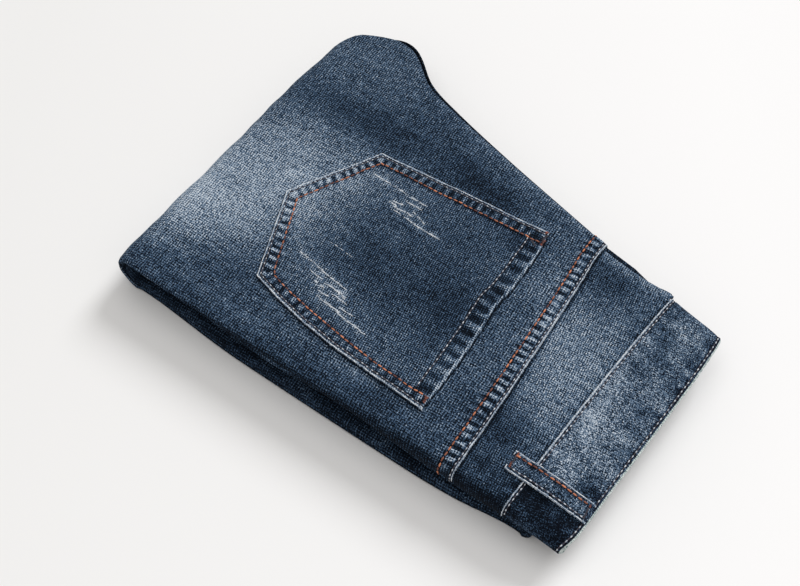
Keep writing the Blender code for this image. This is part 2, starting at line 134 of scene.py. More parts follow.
# Where the indigo is washed out or still dark, and painted shade in the spots beside the belt loop and along
# the side edge, where the loop and the rolled edge shadow the cloth: along, across, half length, half width,
# amount
WASH_AND_SHADE_SPOTS = (
    (44, 116, 96, 88, 0.34), (6, 78, 66, 64, 0.33), (24, 97, 32, 22, -0.15), (96, 150, 50, 36, 0.07),
    (84, 104, 18, 26, 0.09), (60, 195, 90, 26, -0.10), (142, 60, 52, 30, 0.115), (140, 50, 60, 18, -0.07),
    (112, 132, 30, 30, 0.01), (168, 104, 92, 74, -0.13), (118, 208, 76, 42, -0.08), (170, 190, 60, 30, -0.10),
    (158, 203, 24, 16, -0.07), (60, 30, 70, 34, -0.08), (40, 42, 56, 46, 0.07), (120, 12, 64, 12, 0.05),
    (212, 16, 26, 10, -0.09), (206, 160, 56, 32, -0.05), (44, 244, 70, 44, 0.03), (300, 104, 46, 84, 0.225),
    (290, 45, 26, 26, -0.17), (318, 12, 24, 24, -0.04), (292, 176, 30, 30, -0.09), (258, 140, 34, 62, 0.09),
    (254, 124, 16, 20, -0.09), (150, 8, 230, 18, -0.12), (320, 12, 50, 34, -0.10), (291, 18, 10, 8, -0.15),
    (236, 60, 30, 40, 0.04),
    (255, 40, 24, 30, -0.05), (64, 246, 30, 5, 0.06), (84, 226, 34, 5, 0.05), (105, 232, 30, 4, -0.05),
    (222, 85, 28, 62, -0.09), (226, 172, 24, 24, -0.12), (200, 100, 26, 24, -0.05), (282, 124, 24, 28, 0.10),
    (60, 72, 24, 26, 0.06), (62, 126, 24, 26, 0.06), (150, 66, 28, 22, -0.07), (144, 127, 28, 24, 0.03),
    (188, 192, 42, 20, -0.09), (185, 20, 44, 18, 0.05), (44, 118, 36, 30, -0.04), (170, 112, 30, 40, 0.05),
    (80, 14, 60, 16, 0.06), (118, 104, 20, 20, 0.02),
    (28, 30, 40, 6, 0.05), (52, 60, 40, 6, -0.04), (30, 150, 26, 8, 0.04), (14, 60, 10, 60, 0.05))
# Washed and dark places on the band, as above; the large dark spot by the side edge, beside the belt loop, is
# painted shade of the loop and the band's roll
BAND_WASH_AND_SHADE_SPOTS = (
    (321, 120, 12, 44, 0.13), (340, 140, 14, 16, -0.08),
    (330, 92, 18, 32, 0.25), (336, 64, 34, 40, 0.18), (338, 122, 34, 34, 0.16), (348, 90, 14, 34, 0.12),
    (352, 160, 30, 34, 0.08), (354, 108, 12, 12, -0.16), (358, 136, 12, 14, -0.12), (360, 158, 12, 12, -0.10),
    (330, 10, 70, 26, -0.31), (326, 4, 18, 10, 0.10), (334, 46, 24, 16, 0.12), (350, 62, 12, 12, 0.14),
    (352, 84, 10, 9, 0.10),
    (340, 174, 22, 14, 0.06), (348, 44, 10, 10, -0.08))

# Back pocket: its sewn outline from the opening's side end round to the other, the opening, the
# orange row inside the outline and the row that holds the hem, all as (along, across)
POCKET_OUTLINE = ((240.4, 24.2), (196.7, 26.5), (170.0, 28.0), (143.3, 30.9), (116.7, 36.2), (93.1, 42.4),
                  (65.2, 110.4), (100.7, 176.5), (236.0, 185.8))
POCKET_OPENING = ((240.4, 24.2), (241.3, 62), (240.0, 91), (238.6, 107), (238.3, 118), (239.5, 130),
                  (239.4, 144), (238.8, 166), (237.4, 178), (236.0, 185.8))
ORANGE_ROW = ((240.2, 33.1), (223.0, 32.9), (196.7, 34.4), (170.0, 37.2), (143.3, 40.9), (120.0, 45.0),
              (103.2, 49.3), (100.2, 52.6), (75.8, 109.0), (102.8, 163.2), (105.6, 168.5), (148.3, 170.2),
              (188.3, 172.4), (236.6, 175.3))
HEM_ROW = ((228.8, 34), (228.6, 60), (226.7, 97), (225.3, 115), (226.7, 128), (226.9, 150), (226.3, 170),
           (224.4, 181))
POCKET_MIDDLE = (160.0, 105.0)
POCKET_LIFT = 1.8               # its rise above the seat: the turned edge is double
FINE_ROW = 2.5                  # the navy row's place in from the outline
ROW_GAP = 0.8                   # half width of the groove that a row lies in

# Belt loop: middle of its two ends, and its width
LOOP_ENDS = ((303.2, 28.3), (361.4, 28.9))
LOOP_BOW = 1.5                  # its middle lies a little nearer the side edge
LOOP_WIDTH = 14.6
LOOP_WALL = 1.9
LOOP_RISE = 1.5                 # its middle stands off the band
LOOP_LENGTH = 57                # cloth between its two ends
LOOP_ORANGE, LOOP_NAVY = 4.2, -4.7      # its two rows, off its middle

STITCH = 4.1                    # length of one stitch and its hole


def ease(value):
    part = np.clip(value, 0.0, 1.0)
    return part * part * (3.0 - 2.0 * part)


def bell(value, middle, width):
    """Smooth hump, one at its middle."""
    return np.exp(-((value - middle) / width) ** 2)


def read_line(table, at):
    """A smooth curve through the rows of a two-column table."""
    xs, ys = np.array(table, float).T
    low = np.maximum(np.arange(len(xs)) - 1, 0)
    high = np.minimum(np.arange(len(xs)) + 1, len(xs) - 1)
    slopes = (ys[high] - ys[low]) / (xs[high] - xs[low])
    at = np.asarray(at, float)
    row = np.clip(np.searchsorted(xs, at) - 1, 0, len(xs) - 2)
    width = xs[row + 1] - xs[row]
    t = np.clip((at - xs[row]) / width, 0.0, 1.0)
    return ((2 * t**3 - 3 * t**2 + 1) * ys[row] + (t**3 - 2 * t**2 + t) * width * slopes[row]
            + (3 * t**2 - 2 * t**3) * ys[row + 1] + (t**3 - t**2) * width * slopes[row + 1])


def seam_at(seam, across):
    return seam[0] + (seam[1] - seam[0]) * across / SEAM_SPAN + read_line(seam[2], across)


def soft_spots(table, along, across):
    """Sum of soft oval spots: along, across, half length, half width, amount."""
    total = np.zeros(np.broadcast(along, across).shape)
    for x, y, half_length, half_width, amount in table:
        total += amount * ease(1.0 - np.hypot((along - x) / half_length, (across - y) / half_width))
    return total


def soft_creases(table, along, across):
    total = np.zeros(np.broadcast(along, across).shape)
    for x0, y0, x1, y1, half_width, rise in table:
        run = math.hypot(x1 - x0, y1 - y0)
        ux, uy = (x1 - x0) / run, (y1 - y0) / run
        on = (along - x0) * ux + (across - y0) * uy
        bow = 0.05 * run * np.sin(np.pi * np.clip(on / run, 0, 1))
        off = (across - y0) * ux - (along - x0) * uy - bow
        ends = ease(on / run * 2.6 + 0.3) * ease((1 - on / run) * 2.6 + 0.3)
        total += rise * np.exp(-(off / half_width) ** 2) * ends
    return total


def rolling(seed, shortest, longest, count=16):
    """Uneven rolling of soft cloth: slanted waves between two lengths, unit height."""
    draw = np.random.default_rng(seed)
    lengths = draw.uniform(shortest, longest, count)
    headings = draw.uniform(0, math.pi, count)
    starts = draw.uniform(0, 2 * math.pi, count)

    def at(along, across):
        total = 0.0
        for length, heading, start in zip(lengths, headings, starts):
            run = along * math.cos(heading) + across * math.sin(heading)
            total = total + np.sin(run * 2 * math.pi / length + start)
        return total / math.sqrt(count / 2)
    return at


seat_rolling = rolling(3, 18, 52)
fine_rolling = rolling(8, 7, 15)
band_rolling = rolling(21, 12, 30)


def roping(seed, pitch):
    """Puckers along a sewn edge, from -1 to 1: ridges that the wash wears, with dimples between."""
    draw = np.random.default_rng(seed)
    a, b, c, d, e = draw.uniform(0, 2 * math.pi, 5)
    blotches = rolling(seed + 100, 0.7 * pitch, 2.0 * pitch, 12)

    def at(run, inward=0.0):
        phase = 2 * math.pi * run / pitch + 0.9 * np.sin(run / (2.3 * pitch) + a) \
            + 0.55 * np.sin(run / (0.8 * pitch) + b)
        lean = 0.07 + 0.10 * np.sin(run / (2.0 * pitch) + e)
        strength = 0.74 + 0.26 * np.sin(run / (1.6 * pitch) + c) * np.sin(run / (0.7 * pitch) + d)
        return np.tanh(2.0 * np.sin(phase + lean * inward)) * strength + 0.20 * blotches(run, inward)
    return at


def seat_height(along, across):
    """Upper face of the seat and yoke, level along its edges, with its creases."""
    edge = read_line(SEAT_LINE, along)
    from_edges = np.minimum(np.minimum(along - FOLD_RADIUS, across - 5), edge - 5 - across)
    swell = soft_spots(SWELLS, along, across) * ease(from_edges / 30)
    rolls = 0.20 * seat_rolling(along, across) + 0.05 * fine_rolling(along, across)
    return STACK + swell + (rolls * ease((from_edges + 6) / 22)
                            + soft_creases(CREASES, along, across) * ease((from_edges + 9) / 14))


def tone(along, across):
    """Tone of the washed cloth, from nought for raw indigo to one for bare white, with painted shade in some
    of its spots.
    """
    return BARE_TONE + soft_spots(WASH_AND_SHADE_SPOTS, along, across)


def raw_least(wash_and_shade):
    """Even raw indigo shows a few flecks, so no tone goes below its own."""
    return RAW_TONE + np.logaddexp(0.0, (wash_and_shade - RAW_TONE) / 0.03) * 0.03


# ---------------------------------------------------------------- meshes

def in_frame(points):
    """Garment millimetres to metres in the frame."""
    return CORNER + np.asarray(points, float) * MM


def clear_selection():
    bpy.ops.object.select_all(action="DESELECT")


def make_active(piece):
    clear_selection()
    piece.select_set(True)
    bpy.context.view_layer.objects.active = piece


def add_mesh(name, points, faces, finish, fields, uv=None):
    """points in garment millimetres; uv in millimetres of cloth; fields are per-point numbers."""
    mesh = bpy.data.meshes.new(name)
    mesh.from_pydata(in_frame(points.reshape(-1, 3)).tolist(), [], faces)
    if uv is not None:
        corners = np.zeros(len(mesh.loops), np.int32)
        mesh.loops.foreach_get("vertex_index", corners)
        layer = mesh.uv_layers.new(name="cloth")
        layer.data.foreach_set("uv", (uv.reshape(-1, 2)[corners] * MM).astype(np.float32).ravel())
    for field, values in fields.items():
        layer = mesh.attributes.new(field, "FLOAT", "POINT")
        layer.data.foreach_set("value", np.ascontiguousarray(values, np.float32).ravel())
    mesh.materials.append(finish)
    piece = bpy.data.objects.new(name, mesh)
    bpy.context.scene.collection.objects.link(piece)
    return piece


def grid_faces(rows, columns, closed=False):
    """Quads of a grid whose columns may close into a ring."""
    i, j = np.meshgrid(np.arange(rows - 1), np.arange(columns if closed else columns - 1), indexing="ij")
    k = (j + 1) % columns
    return np.stack([i * columns + j, i * columns + k, (i + 1) * columns + k,
                     (i + 1) * columns + j], -1).reshape(-1, 4)


def closed_ring(name, points, uv, fields, finish):
    """A tube from a grid whose columns close into a ring, with both ends filled."""
    rows, columns = points.shape[:2]
    cap = np.arange(columns)
    faces = grid_faces(rows, columns, closed=True).tolist()
    faces += [cap[::-1].tolist(), (cap + (rows - 1) * columns).tolist()]
    return add_mesh(name, points, faces, finish, fields, uv)


def grid_sheet(name, points, uv, wash_and_shade, finish, outward, thick=CLOTH):
    """A sheet of cloth from a grid of points. outward is a (row, column, direction) that its face has."""
    rows, columns = points.shape[:2]
    faces = grid_faces(rows, columns)
    i, j, direction = outward
    a, b, c = points[i, j], points[i, j + 1], points[i + 1, j]
    if np.dot(np.cross(b - a, c - a), direction) < 0:
        faces = faces[:, ::-1]
    piece = add_mesh(name, points, faces.tolist(), finish, {"wash_and_shade": raw_least(wash_and_shade)}, uv)
    wall = piece.modifiers.new("wall", "SOLIDIFY")
    wall.thickness = thick * MM
    wall.offset = -1.0
    make_active(piece)
    bpy.ops.object.modifier_apply(modifier="wall")
    bpy.ops.object.shade_smooth_by_angle(angle=math.radians(55))
    return piece


# ---------------------------------------------------------------- materials

def linear(code):
    """An sRGB hex colour as linear RGBA."""
    parts = [int(code[i:i + 2], 16) / 255 for i in (1, 3, 5)]
    return tuple(c / 12.92 if c <= 0.04045 else ((c + 0.055) / 1.055) ** 2.4 for c in parts) + (1.0,)


def new_material(name, roughness):
    made = bpy.data.materials.new(name)
    made.use_nodes = True
    tree = made.node_tree
    shader = tree.nodes["Principled BSDF"]
    shader.inputs["Roughness"].default_value = roughness
    return made, tree, shader


def add(tree, kind, settings=None, **links):
    """One node: its settings, and by input name a value or another node's output."""
    node = tree.nodes.new("ShaderNode" + kind)
    for key, value in (settings or {}).items():
        setattr(node, key, value)
    for key, value in links.items():
        socket = node.inputs[int(key[1:]) if key[0] == "i" and key[1:].isdigit() else key.replace("_", " ")]
        if isinstance(value, bpy.types.NodeSocket):
            tree.links.new(value, socket)
        else:
            socket.default_value = value
    return node


def sums(tree, operation, first, second):
    return add(tree, "Math", {"operation": operation}, i0=first, i1=second).outputs[0]


def set_ramp(node, stops):
    ramp = node.color_ramp
    while len(ramp.elements) > 2:
        ramp.elements.remove(ramp.elements[-1])
    ramp.elements[0].position, ramp.elements[0].color = stops[0][0], linear(stops[0][1])
    ramp.elements[1].position, ramp.elements[1].color = stops[-1][0], linear(stops[-1][1])
    for place, code in stops[1:-1]:
        ramp.elements.new(place).color = linear(code)


# Indigo from raw to washed out, by how much of the dye is gone
INDIGO = ((0.0, "#0e1219"), (0.12, "#1f2a38"), (0.25, "#33475e"), (0.4, "#4b617b"), (0.55, "#65798f"),
          (0.7, "#8597aa"), (0.85, "#a8b6c5"), (1.0, "#d0d8e0"))
# The inner face of the cloth, where the undyed weft is on top
INSIDE = ((0.0, "#6f7f82"), (0.5, "#a9b7b5"), (1.0, "#dfe6e3"))


def washed_denim(name, pitch, slant, cloud=0.07, yarns_seen=1.0, flecks=1.0):
    """Ring-spun stretch denim, woven as a 3/1 twill and stone washed: white weft shows between the
    indigo warp as short dashes along the twill line, the dye is uneven and rubs off on every ridge.

    Twill lines lie about 0.6 mm apart on the cloth. pitch, in millimetres, draws them coarser, to
    show when the whole garment is seen.
    """
    made, tree, shader = new_material(name, 0.86)
    uv = add(tree, "UVMap", {"uv_map": "cloth"}).outputs["UV"]

    def stretched(length, width, turn, detail, kind="TexNoise", out=0):
        """A pattern whose marks are length x width millimetres, turned on the cloth."""
        place = add(tree, "Mapping", {"vector_type": "TEXTURE"}, Vector=uv,
                    Rotation=(0, 0, turn), Scale=(length * MM, width * MM, 1)).outputs[0]
        if kind == "TexVoronoi":
            return add(tree, kind, {"voronoi_dimensions": "2D"}, Vector=place, Scale=1.0,
                       Randomness=0.9).outputs[out]
        return add(tree, kind, {"noise_dimensions": "2D"}, Vector=place, Scale=1.0,
                   Detail=detail, Roughness=0.6).outputs[out]

    def centred(value):
        return sums(tree, "SUBTRACT", value, 0.5)

    # two crossed sets of yarns, never quite straight, each showing where it floats on top
    yarns = add(tree, "SeparateXYZ", Vector=add(
        tree, "Mapping", {"vector_type": "TEXTURE"}, Vector=uv, Rotation=(0, 0, slant),
        Scale=(0.96 * pitch * MM, pitch * MM, 1)).outputs[0])

    def yarn_lines(place, length, width, turn, strength):
        waver = sums(tree, "MULTIPLY", centred(stretched(12.0, 8.0, turn, 0)), 0.7)
        phase = sums(tree, "MULTIPLY", sums(tree, "ADD", place, waver), 2 * math.pi)
        on_top = add(tree, "MapRange", i0=stretched(length, width, turn, 0), i1=0.32, i2=0.68,
                     i3=0.25 * strength, i4=1.5 * strength).outputs[0]
        return sums(tree, "MULTIPLY", sums(tree, "SINE", phase, 0.0), on_top)

    floats = yarn_lines(yarns.outputs[1], 2.4, 1.5, slant, 0.32 * yarns_seen)
    picks = yarn_lines(yarns.outputs[0], 1.5, 2.2, slant, 0.26 * yarns_seen)
    dash = add(tree, "SeparateColor", Color=stretched(1.25, 0.8, slant, 0, "TexVoronoi", 1))
    fine = centred(stretched(0.7, 0.55, slant, 0))
    slub = centred(stretched(42, 0.9, 0.0, 0))
    patchy = centred(stretched(17, 11, 0.3, 2.0))
    marks = sums(tree, "ADD", floats, picks)
    for pattern, share in ((centred(dash.outputs[0]), 0.42 * flecks), (fine, 1.1 * flecks),
                           (slub, 0.30), (patchy, cloud * 2.2)):
        marks = sums(tree, "ADD", marks, sums(tree, "MULTIPLY", pattern, share))
    # the tone of the wash, with painted shade laid into it where the cloth lies in shade
    wash_and_shade = add(tree, "Attribute", {"attribute_name": "wash_and_shade"}).outputs["Fac"]
    # raw indigo shows its white flecks less than half-washed cloth does
    reach = add(tree, "MapRange", i0=wash_and_shade, i1=0.0, i2=0.35, i3=0.45, i4=1.0).outputs[0]
    value = sums(tree, "ADD", wash_and_shade, sums(tree, "MULTIPLY", marks, reach))
    ramp = add(tree, "ValToRGB", Fac=value)
    set_ramp(ramp, INDIGO)
    pale = add(tree, "ValToRGB", Fac=sums(tree, "ADD", marks, 0.62))
    set_ramp(pale, INSIDE)
    inside = add(tree, "Attribute", {"attribute_name": "inside"}).outputs["Fac"]
    colour = add(tree, "Mix", {"data_type": "RGBA"}, i0=inside, i6=ramp.outputs[0],
                 i7=pale.outputs[0]).outputs[2]
    tree.links.new(colour, shader.inputs["Base Color"])
    rough = add(tree, "MapRange", i0=wash_and_shade, i1=0.0, i2=1.0, i3=0.78, i4=0.95).outputs[0]
    tree.links.new(rough, shader.inputs["Roughness"])
    height = sums(tree, "ADD", marks, sums(tree, "MULTIPLY", fine, 0.5))
    bump = add(tree, "Bump", Strength=0.4, Distance=0.0004, Height=height)
    tree.links.new(bump.outputs[0], shader.inputs["Normal"])
    shader.inputs["Sheen Weight"].default_value = 0.02
    shader.inputs["Sheen Roughness"].default_value = 0.5
    shader.inputs["Specular IOR Level"].default_value = 0.0
    return made


def spun_thread(name, dark, light, roughness=0.6):
    """Corespun sewing thread: a polyester core wrapped in cotton, twisted, with a slight gloss."""
    made, tree, shader = new_material(name, roughness)
    where = add(tree, "TexCoord").outputs["Object"]
    ply = add(tree, "TexNoise", Vector=where, Scale=1 / (0.9 * MM), Detail=1.0).outputs[0]
    shade = add(tree, "Attribute", {"attribute_name": "shade"}).outputs["Fac"]
    ramp = add(tree, "ValToRGB", Fac=sums(tree, "ADD", sums(tree, "MULTIPLY", ply, 0.6), shade))
    set_ramp(ramp, ((0.15, dark), (0.85, light)))
    tree.links.new(ramp.outputs[0], shader.inputs["Base Color"])
    bump = add(tree, "Bump", Strength=0.5, Distance=0.0002, Height=ply)
    tree.links.new(bump.outputs[0], shader.inputs["Normal"])
    return made


# The panels' weave reads widest. Pocket and yoke are cut at another slant to it and read a little
# finer, and the band is the most mottled, with the least twill line.
twill = washed_denim("stone_washed_twill", 1.88, math.radians(95), 0.07, 0.8, 1.15)
pocket_twill = washed_denim("stone_washed_pocket_twill", 1.62, math.radians(98), 0.08)
yoke_twill = washed_denim("stone_washed_yoke_twill", 1.6, math.radians(97), 0.08, 0.8, 1.1)
band_twill = washed_denim("stone_washed_band_twill", 1.6, math.radians(75), 0.13, 0.45, 1.5)
# Orange and rust are the warm accents. Navy thread sinks into its row, and where it is worn or the
# weft is bared, short white strands catch the light.
orange_thread = spun_thread("orange_corespun_thread", "#48190f", "#d8875f")
navy_thread = spun_thread("navy_corespun_thread", "#14131c", "#3a3644", 0.7)
pale_thread = spun_thread("bleached_weft_thread", "#98a4b4", "#e6eaee", 0.85)
bared_weft = spun_thread("bared_white_weft", "#bcc6d1", "#f6f8fa", 0.9)
worn_thread = spun_thread("abraded_navy_thread", "#a2a8b4", "#e8ecf2", 0.85)
rust_thread = spun_thread("rust_bartack_thread", "#2e1618", "#96492f")


# ---------------------------------------------------------------- folded panels

def column(values):
    return np.asarray(values, float).reshape(-1, 1)


def girth(across, drop):
    """Distance round the section, equal to `across` in its middle."""
    step = np.hypot(np.diff(across, axis=1), np.diff(drop, axis=1))
    run = np.hstack([np.zeros((len(across), 1)), np.cumsum(step, axis=1)])
    middle = across.shape[1] // 2
    return run - run[:, middle:middle + 1] + across[:, middle:middle + 1]


def seam_angle(seam, half):
    """Angle on the half oval of a roll at which it reaches the drop of its seam."""
    return np.arcsin(np.clip(1 - column(seam) / column(half), -0.98, 0.98))


def rolled(inset, turn, half, seam, far, far_turn, far_half, far_seam, flat_columns, arc=9, far_arc=8):
    """Section of a panel that rolls over both folded edges: across and drop, by row and column.

    At each edge it ends in a seam, which lies at its own drop below the face on a half oval.
    """
    start = seam_angle(seam, half)
    angles = start + (math.pi / 2 - start) * np.linspace(0, 1, arc)
    side = column(inset) + column(turn) * (1 - np.cos(angles))
    side_drop = column(half) * (1 - np.sin(angles))
    end = seam_angle(far_seam, far_half)
    angles = math.pi / 2 + (end - math.pi / 2) * np.linspace(0, 1, far_arc)
    other = column(far) - column(far_turn) * (1 - np.cos(angles))
    other_drop = column(far_half) * (1 - np.sin(angles))
    part = np.linspace(0, 1, flat_columns + 2)[1:-1]
    flat = side[:, -1:] + (other[:, :1] - side[:, -1:]) * part
    return (np.hstack([side, flat, other]),
            np.hstack([side_drop, np.zeros_like(flat), other_drop]))


def tucked(inset, turn, half, seam, depth, far, flat_columns, curl=7):
    """Section of the panel behind, from the same side seam in to its own flat, and on to far."""
    start = seam_angle(seam, half)
    x0 = column(inset) + column(turn) * (1 - np.cos(start))
    y0, y2 = column(seam), column(depth)
    hang = np.maximum(y0 - y2, 0)
    x1, y1 = x0 + 0.4 + 0.15 * hang, y2 + 0.4 * hang
    x2 = column(inset) + column(turn) + 1.5 + 0.6 * hang
    t = np.linspace(0, 1, curl)
    side = (1 - t) ** 2 * x0 + 2 * t * (1 - t) * x1 + t**2 * x2
    drop = (1 - t) ** 2 * y0 + 2 * t * (1 - t) * y1 + t**2 * y2
    part = np.linspace(0, 1, flat_columns + 1)[1:]
    flat = side[:, -1:] + (column(far) - side[:, -1:]) * part
    return np.hstack([side, flat]), np.hstack([drop, np.broadcast_to(y2, flat.shape)])


def leg_stations(fold, under, turn, turned):
    """Stations of the leg's outer face after the seat: along, up, tilt of its normal, and its part.

    The parts are the thigh fold, the underside, the lower fold and the turned-up legs.
    """
    tilt = np.linspace(0, -math.pi, fold + 1)[1:-1]
    turn_tilt = np.linspace(-math.pi, -2 * math.pi, turn + 1)[1:-1]
    back_at = np.linspace(TURN_AT, LEGS_START, turned)
    back_up = 2 * LEG_TURN + (LEG_TOP - 2 * LEG_TURN) * ease((300 - back_at) / 60)
    parts = (
        (FOLD_RADIUS + FOLD_RADIUS * np.sin(tilt), FOLD_RADIUS + FOLD_RADIUS * np.cos(tilt), tilt),
        (np.linspace(FOLD_RADIUS, TURN_AT, under), np.zeros(under), np.full(under, -math.pi)),
        (TURN_AT + LEG_TURN * np.sin(turn_tilt), LEG_TURN + LEG_TURN * np.cos(turn_tilt), turn_tilt),
        (back_at, back_up, np.full(turned, -2 * math.pi)))
    along, up, way = (np.concatenate(rows) for rows in zip(*parts))
    return along, up, way, np.repeat([0, 1, 2, 3], [len(rows[0]) for rows in parts])


def leg_edges(along, way, part):
    """The folded leg by station: side inset, far edge, drop of its outer seam, share of the fold."""
    share = np.clip(-way / math.pi, 0, 1)
    side = np.select([part == 0, part == 1, part == 2],
                     [np.full(along.shape, 0.3), read_line(UNDER_INSET, along), np.full(along.shape, 2.4)],
                     read_line(TURNED_INSET, along))
    far = np.where(part == 0, read_line(SEAT_LINE, along) * (1 - ease(share)) + FOLD_FAR * ease(share),
                   read_line(INSEAM_LINE, along))
    seam = np.where(part == 0, 1.5 + (LEG_SEAM - 1.5) * ease(share), LEG_SEAM)
    return side, far, seam, share


def seat_rows(near, last, step=2.5):
    """Distances in from the yoke seam: close at the folded edge, then wider."""
    reach = near - last
    close = np.concatenate([[0, 0.25, 0.6, 1.0, 1.5, 2.0, 2.5, 3.1], np.arange(4.0, 18.0)])
    rest = np.linspace(close[-1], reach, int((reach - close[-1]) / step) + 1)[1:]
    return np.concatenate([close, rest])


def seam_edge(far_along):
    """Far edge of the seat: how much it is a leg's edge, its turn, half height of its roll, its drop."""
    leg = 1 - ease((far_along - FOLD_RADIUS) / 40)
    turn = LEG_EDGE + (5.0 - LEG_EDGE) * (1 - leg)
    half = LEG_ROLL + (SEAT_THICK / 2 - LEG_ROLL) * (1 - leg)
    drop = LEG_SEAM + (SEAT_THICK / 2 - 0.25 - LEG_SEAM) * (1 - leg)
    return leg, turn, half, drop


BACK_COLUMNS = 196              # of the right back panel's flat part
yoke_roping = roping(5, 6.3)
worn_edge = rolling(15, 6.0, 25.0, 8)
YOKE_ORANGE = 10.4              # the orange row's place in from the yoke seam


def yoke_seam_relief(inward, across):
    """Rise and tone of the seat's folded edge, by distance in from its seam with the yoke."""
    ridge = yoke_roping(across, inward)
    between = ease((inward - 2.8) / 1.8) * ease((10.8 - inward) / 1.6)
    beyond = 0.38 * ease((17 - inward) / 6) * ease((inward - 10.2) / 1.0)
    rise = 1.2 * ease((14.5 - inward) / 4.0) - 1.1 * (1 - ease(inward / 0.6))
    rise += ridge * 0.50 * (between + beyond)
    rise -= 0.42 * bell(inward, 2.0, 0.8) + 0.45 * bell(inward, YOKE_ORANGE, 0.9)
    shade = 0.40 * ridge * (between + beyond) + 0.04 * between
    shade += 0.66 * bell(inward, 0.6, 0.75) * (0.78 + 0.22 * worn_edge(across, 0.0))
    shade -= 0.42 * bell(inward, 2.1, 0.95) + 0.22 * bell(inward, YOKE_ORANGE, 1.1)
    return rise, shade


def right_back_panel():
    """Seat and leg in one length, over the seat, round the thigh fold and along the underside."""
    inward = seat_rows(seam_at(YOKE_SEAM, SEAM_SPAN), FOLD_RADIUS)
    reach = inward[-1]
    far_along = seam_at(YOKE_SEAM, SEAM_SPAN) - inward
    _, far_turn, far_half, far_drop = seam_edge(far_along)
    edge = read_line(SEAT_LINE, far_along)
    across, drop = rolled(np.zeros_like(edge), read_line(SIDE_TURN, far_along),
                          read_line(SIDE_ROLL, far_along), read_line(SIDE_SEAM, far_along),
                          edge, far_turn, far_half, far_drop, BACK_COLUMNS)
    start = seam_at(YOKE_SEAM, across) - 0.15
    along = start + (FOLD_RADIUS - start) * column(inward) / reach
    in_here = start - along
    rise, shade = yoke_seam_relief(in_here, across)
    up = seat_height(along, across) - drop + rise
    seat = np.stack([along, across, up], -1)
    seat_girth = girth(across, drop)
    # painted shade: the seat is painted darker where its section rolls down over its folded edges, away from
    # the light
    wash_and_shade = tone(along, across) + shade - 0.20 * ease((drop + 0.4) / 4)
    # the far edge is painted paler: partly rubbed wear, partly painted light where it turns to the key light
    wash_and_shade += 0.10 * ease((across - column(edge) + 9) / 6) * ease((along - 110) / 40)
    # the thin pale line where the outer seam runs along the rolled edge
    wash_and_shade[:, 0] += 0.30
    wash_and_shade[:, -1] += 0.05

    at, height, way, part = leg_stations(14, 58, 8, 10)
    side, far, seam, share = leg_edges(at, way, part)
    full = np.ones_like(at)
    turn = np.where(part == 0, 4.2 + (LEG_EDGE - 4.2) * share, LEG_EDGE)
    across, drop = rolled(side, turn, full * LEG_ROLL, seam, far, full * LEG_EDGE, full * LEG_ROLL,
                          full * LEG_SEAM, BACK_COLUMNS)
    out = np.stack([np.sin(way), np.cos(way)], -1)[:, None, :]
    # the fold isn't a true round: it bulges and gives a little along its length
    give = 0.35 * seat_rolling(column(at) * 0.6, across)
    give = give + 1.9 * ease((across + 15) / 20) * ease((236 - across) / 34)
    give = give - 3.4 * ease((column(share) - 0.25) / 0.35) * ease((45 - across) / 45)
    give = give * column(np.sin(np.pi * share) * (part == 0))
    legs = np.stack([column(at) - out[..., 0] * (drop - give), across,
                     column(height) - out[..., 1] * (drop - give)], -1)
    run = np.cumsum(np.hypot(np.diff(at, prepend=FOLD_RADIUS), np.diff(height, prepend=STACK)))
    # painted shade: past the thigh fold the legs are painted darker, on the underside and the folded layers
    leg_wash_and_shade = tone(FOLD_RADIUS - column(run), across) - 0.22 * ease((column(run) - 34) / 30)
    leg_wash_and_shade[:, 0] += 0.16
    points = np.concatenate([seat, legs])
    grain = np.concatenate([seat[..., 0], FOLD_RADIUS - column(run) + 0 * across])
    uv = np.stack([grain, np.concatenate([seat_girth, girth(across, drop)])], -1)
    wash_and_shade = np.concatenate([wash_and_shade, leg_wash_and_shade])
    piece = grid_sheet("right_back_panel", points, uv, wash_and_shade, twill, (40, 100, UPWARD))
    return piece, seat, inward


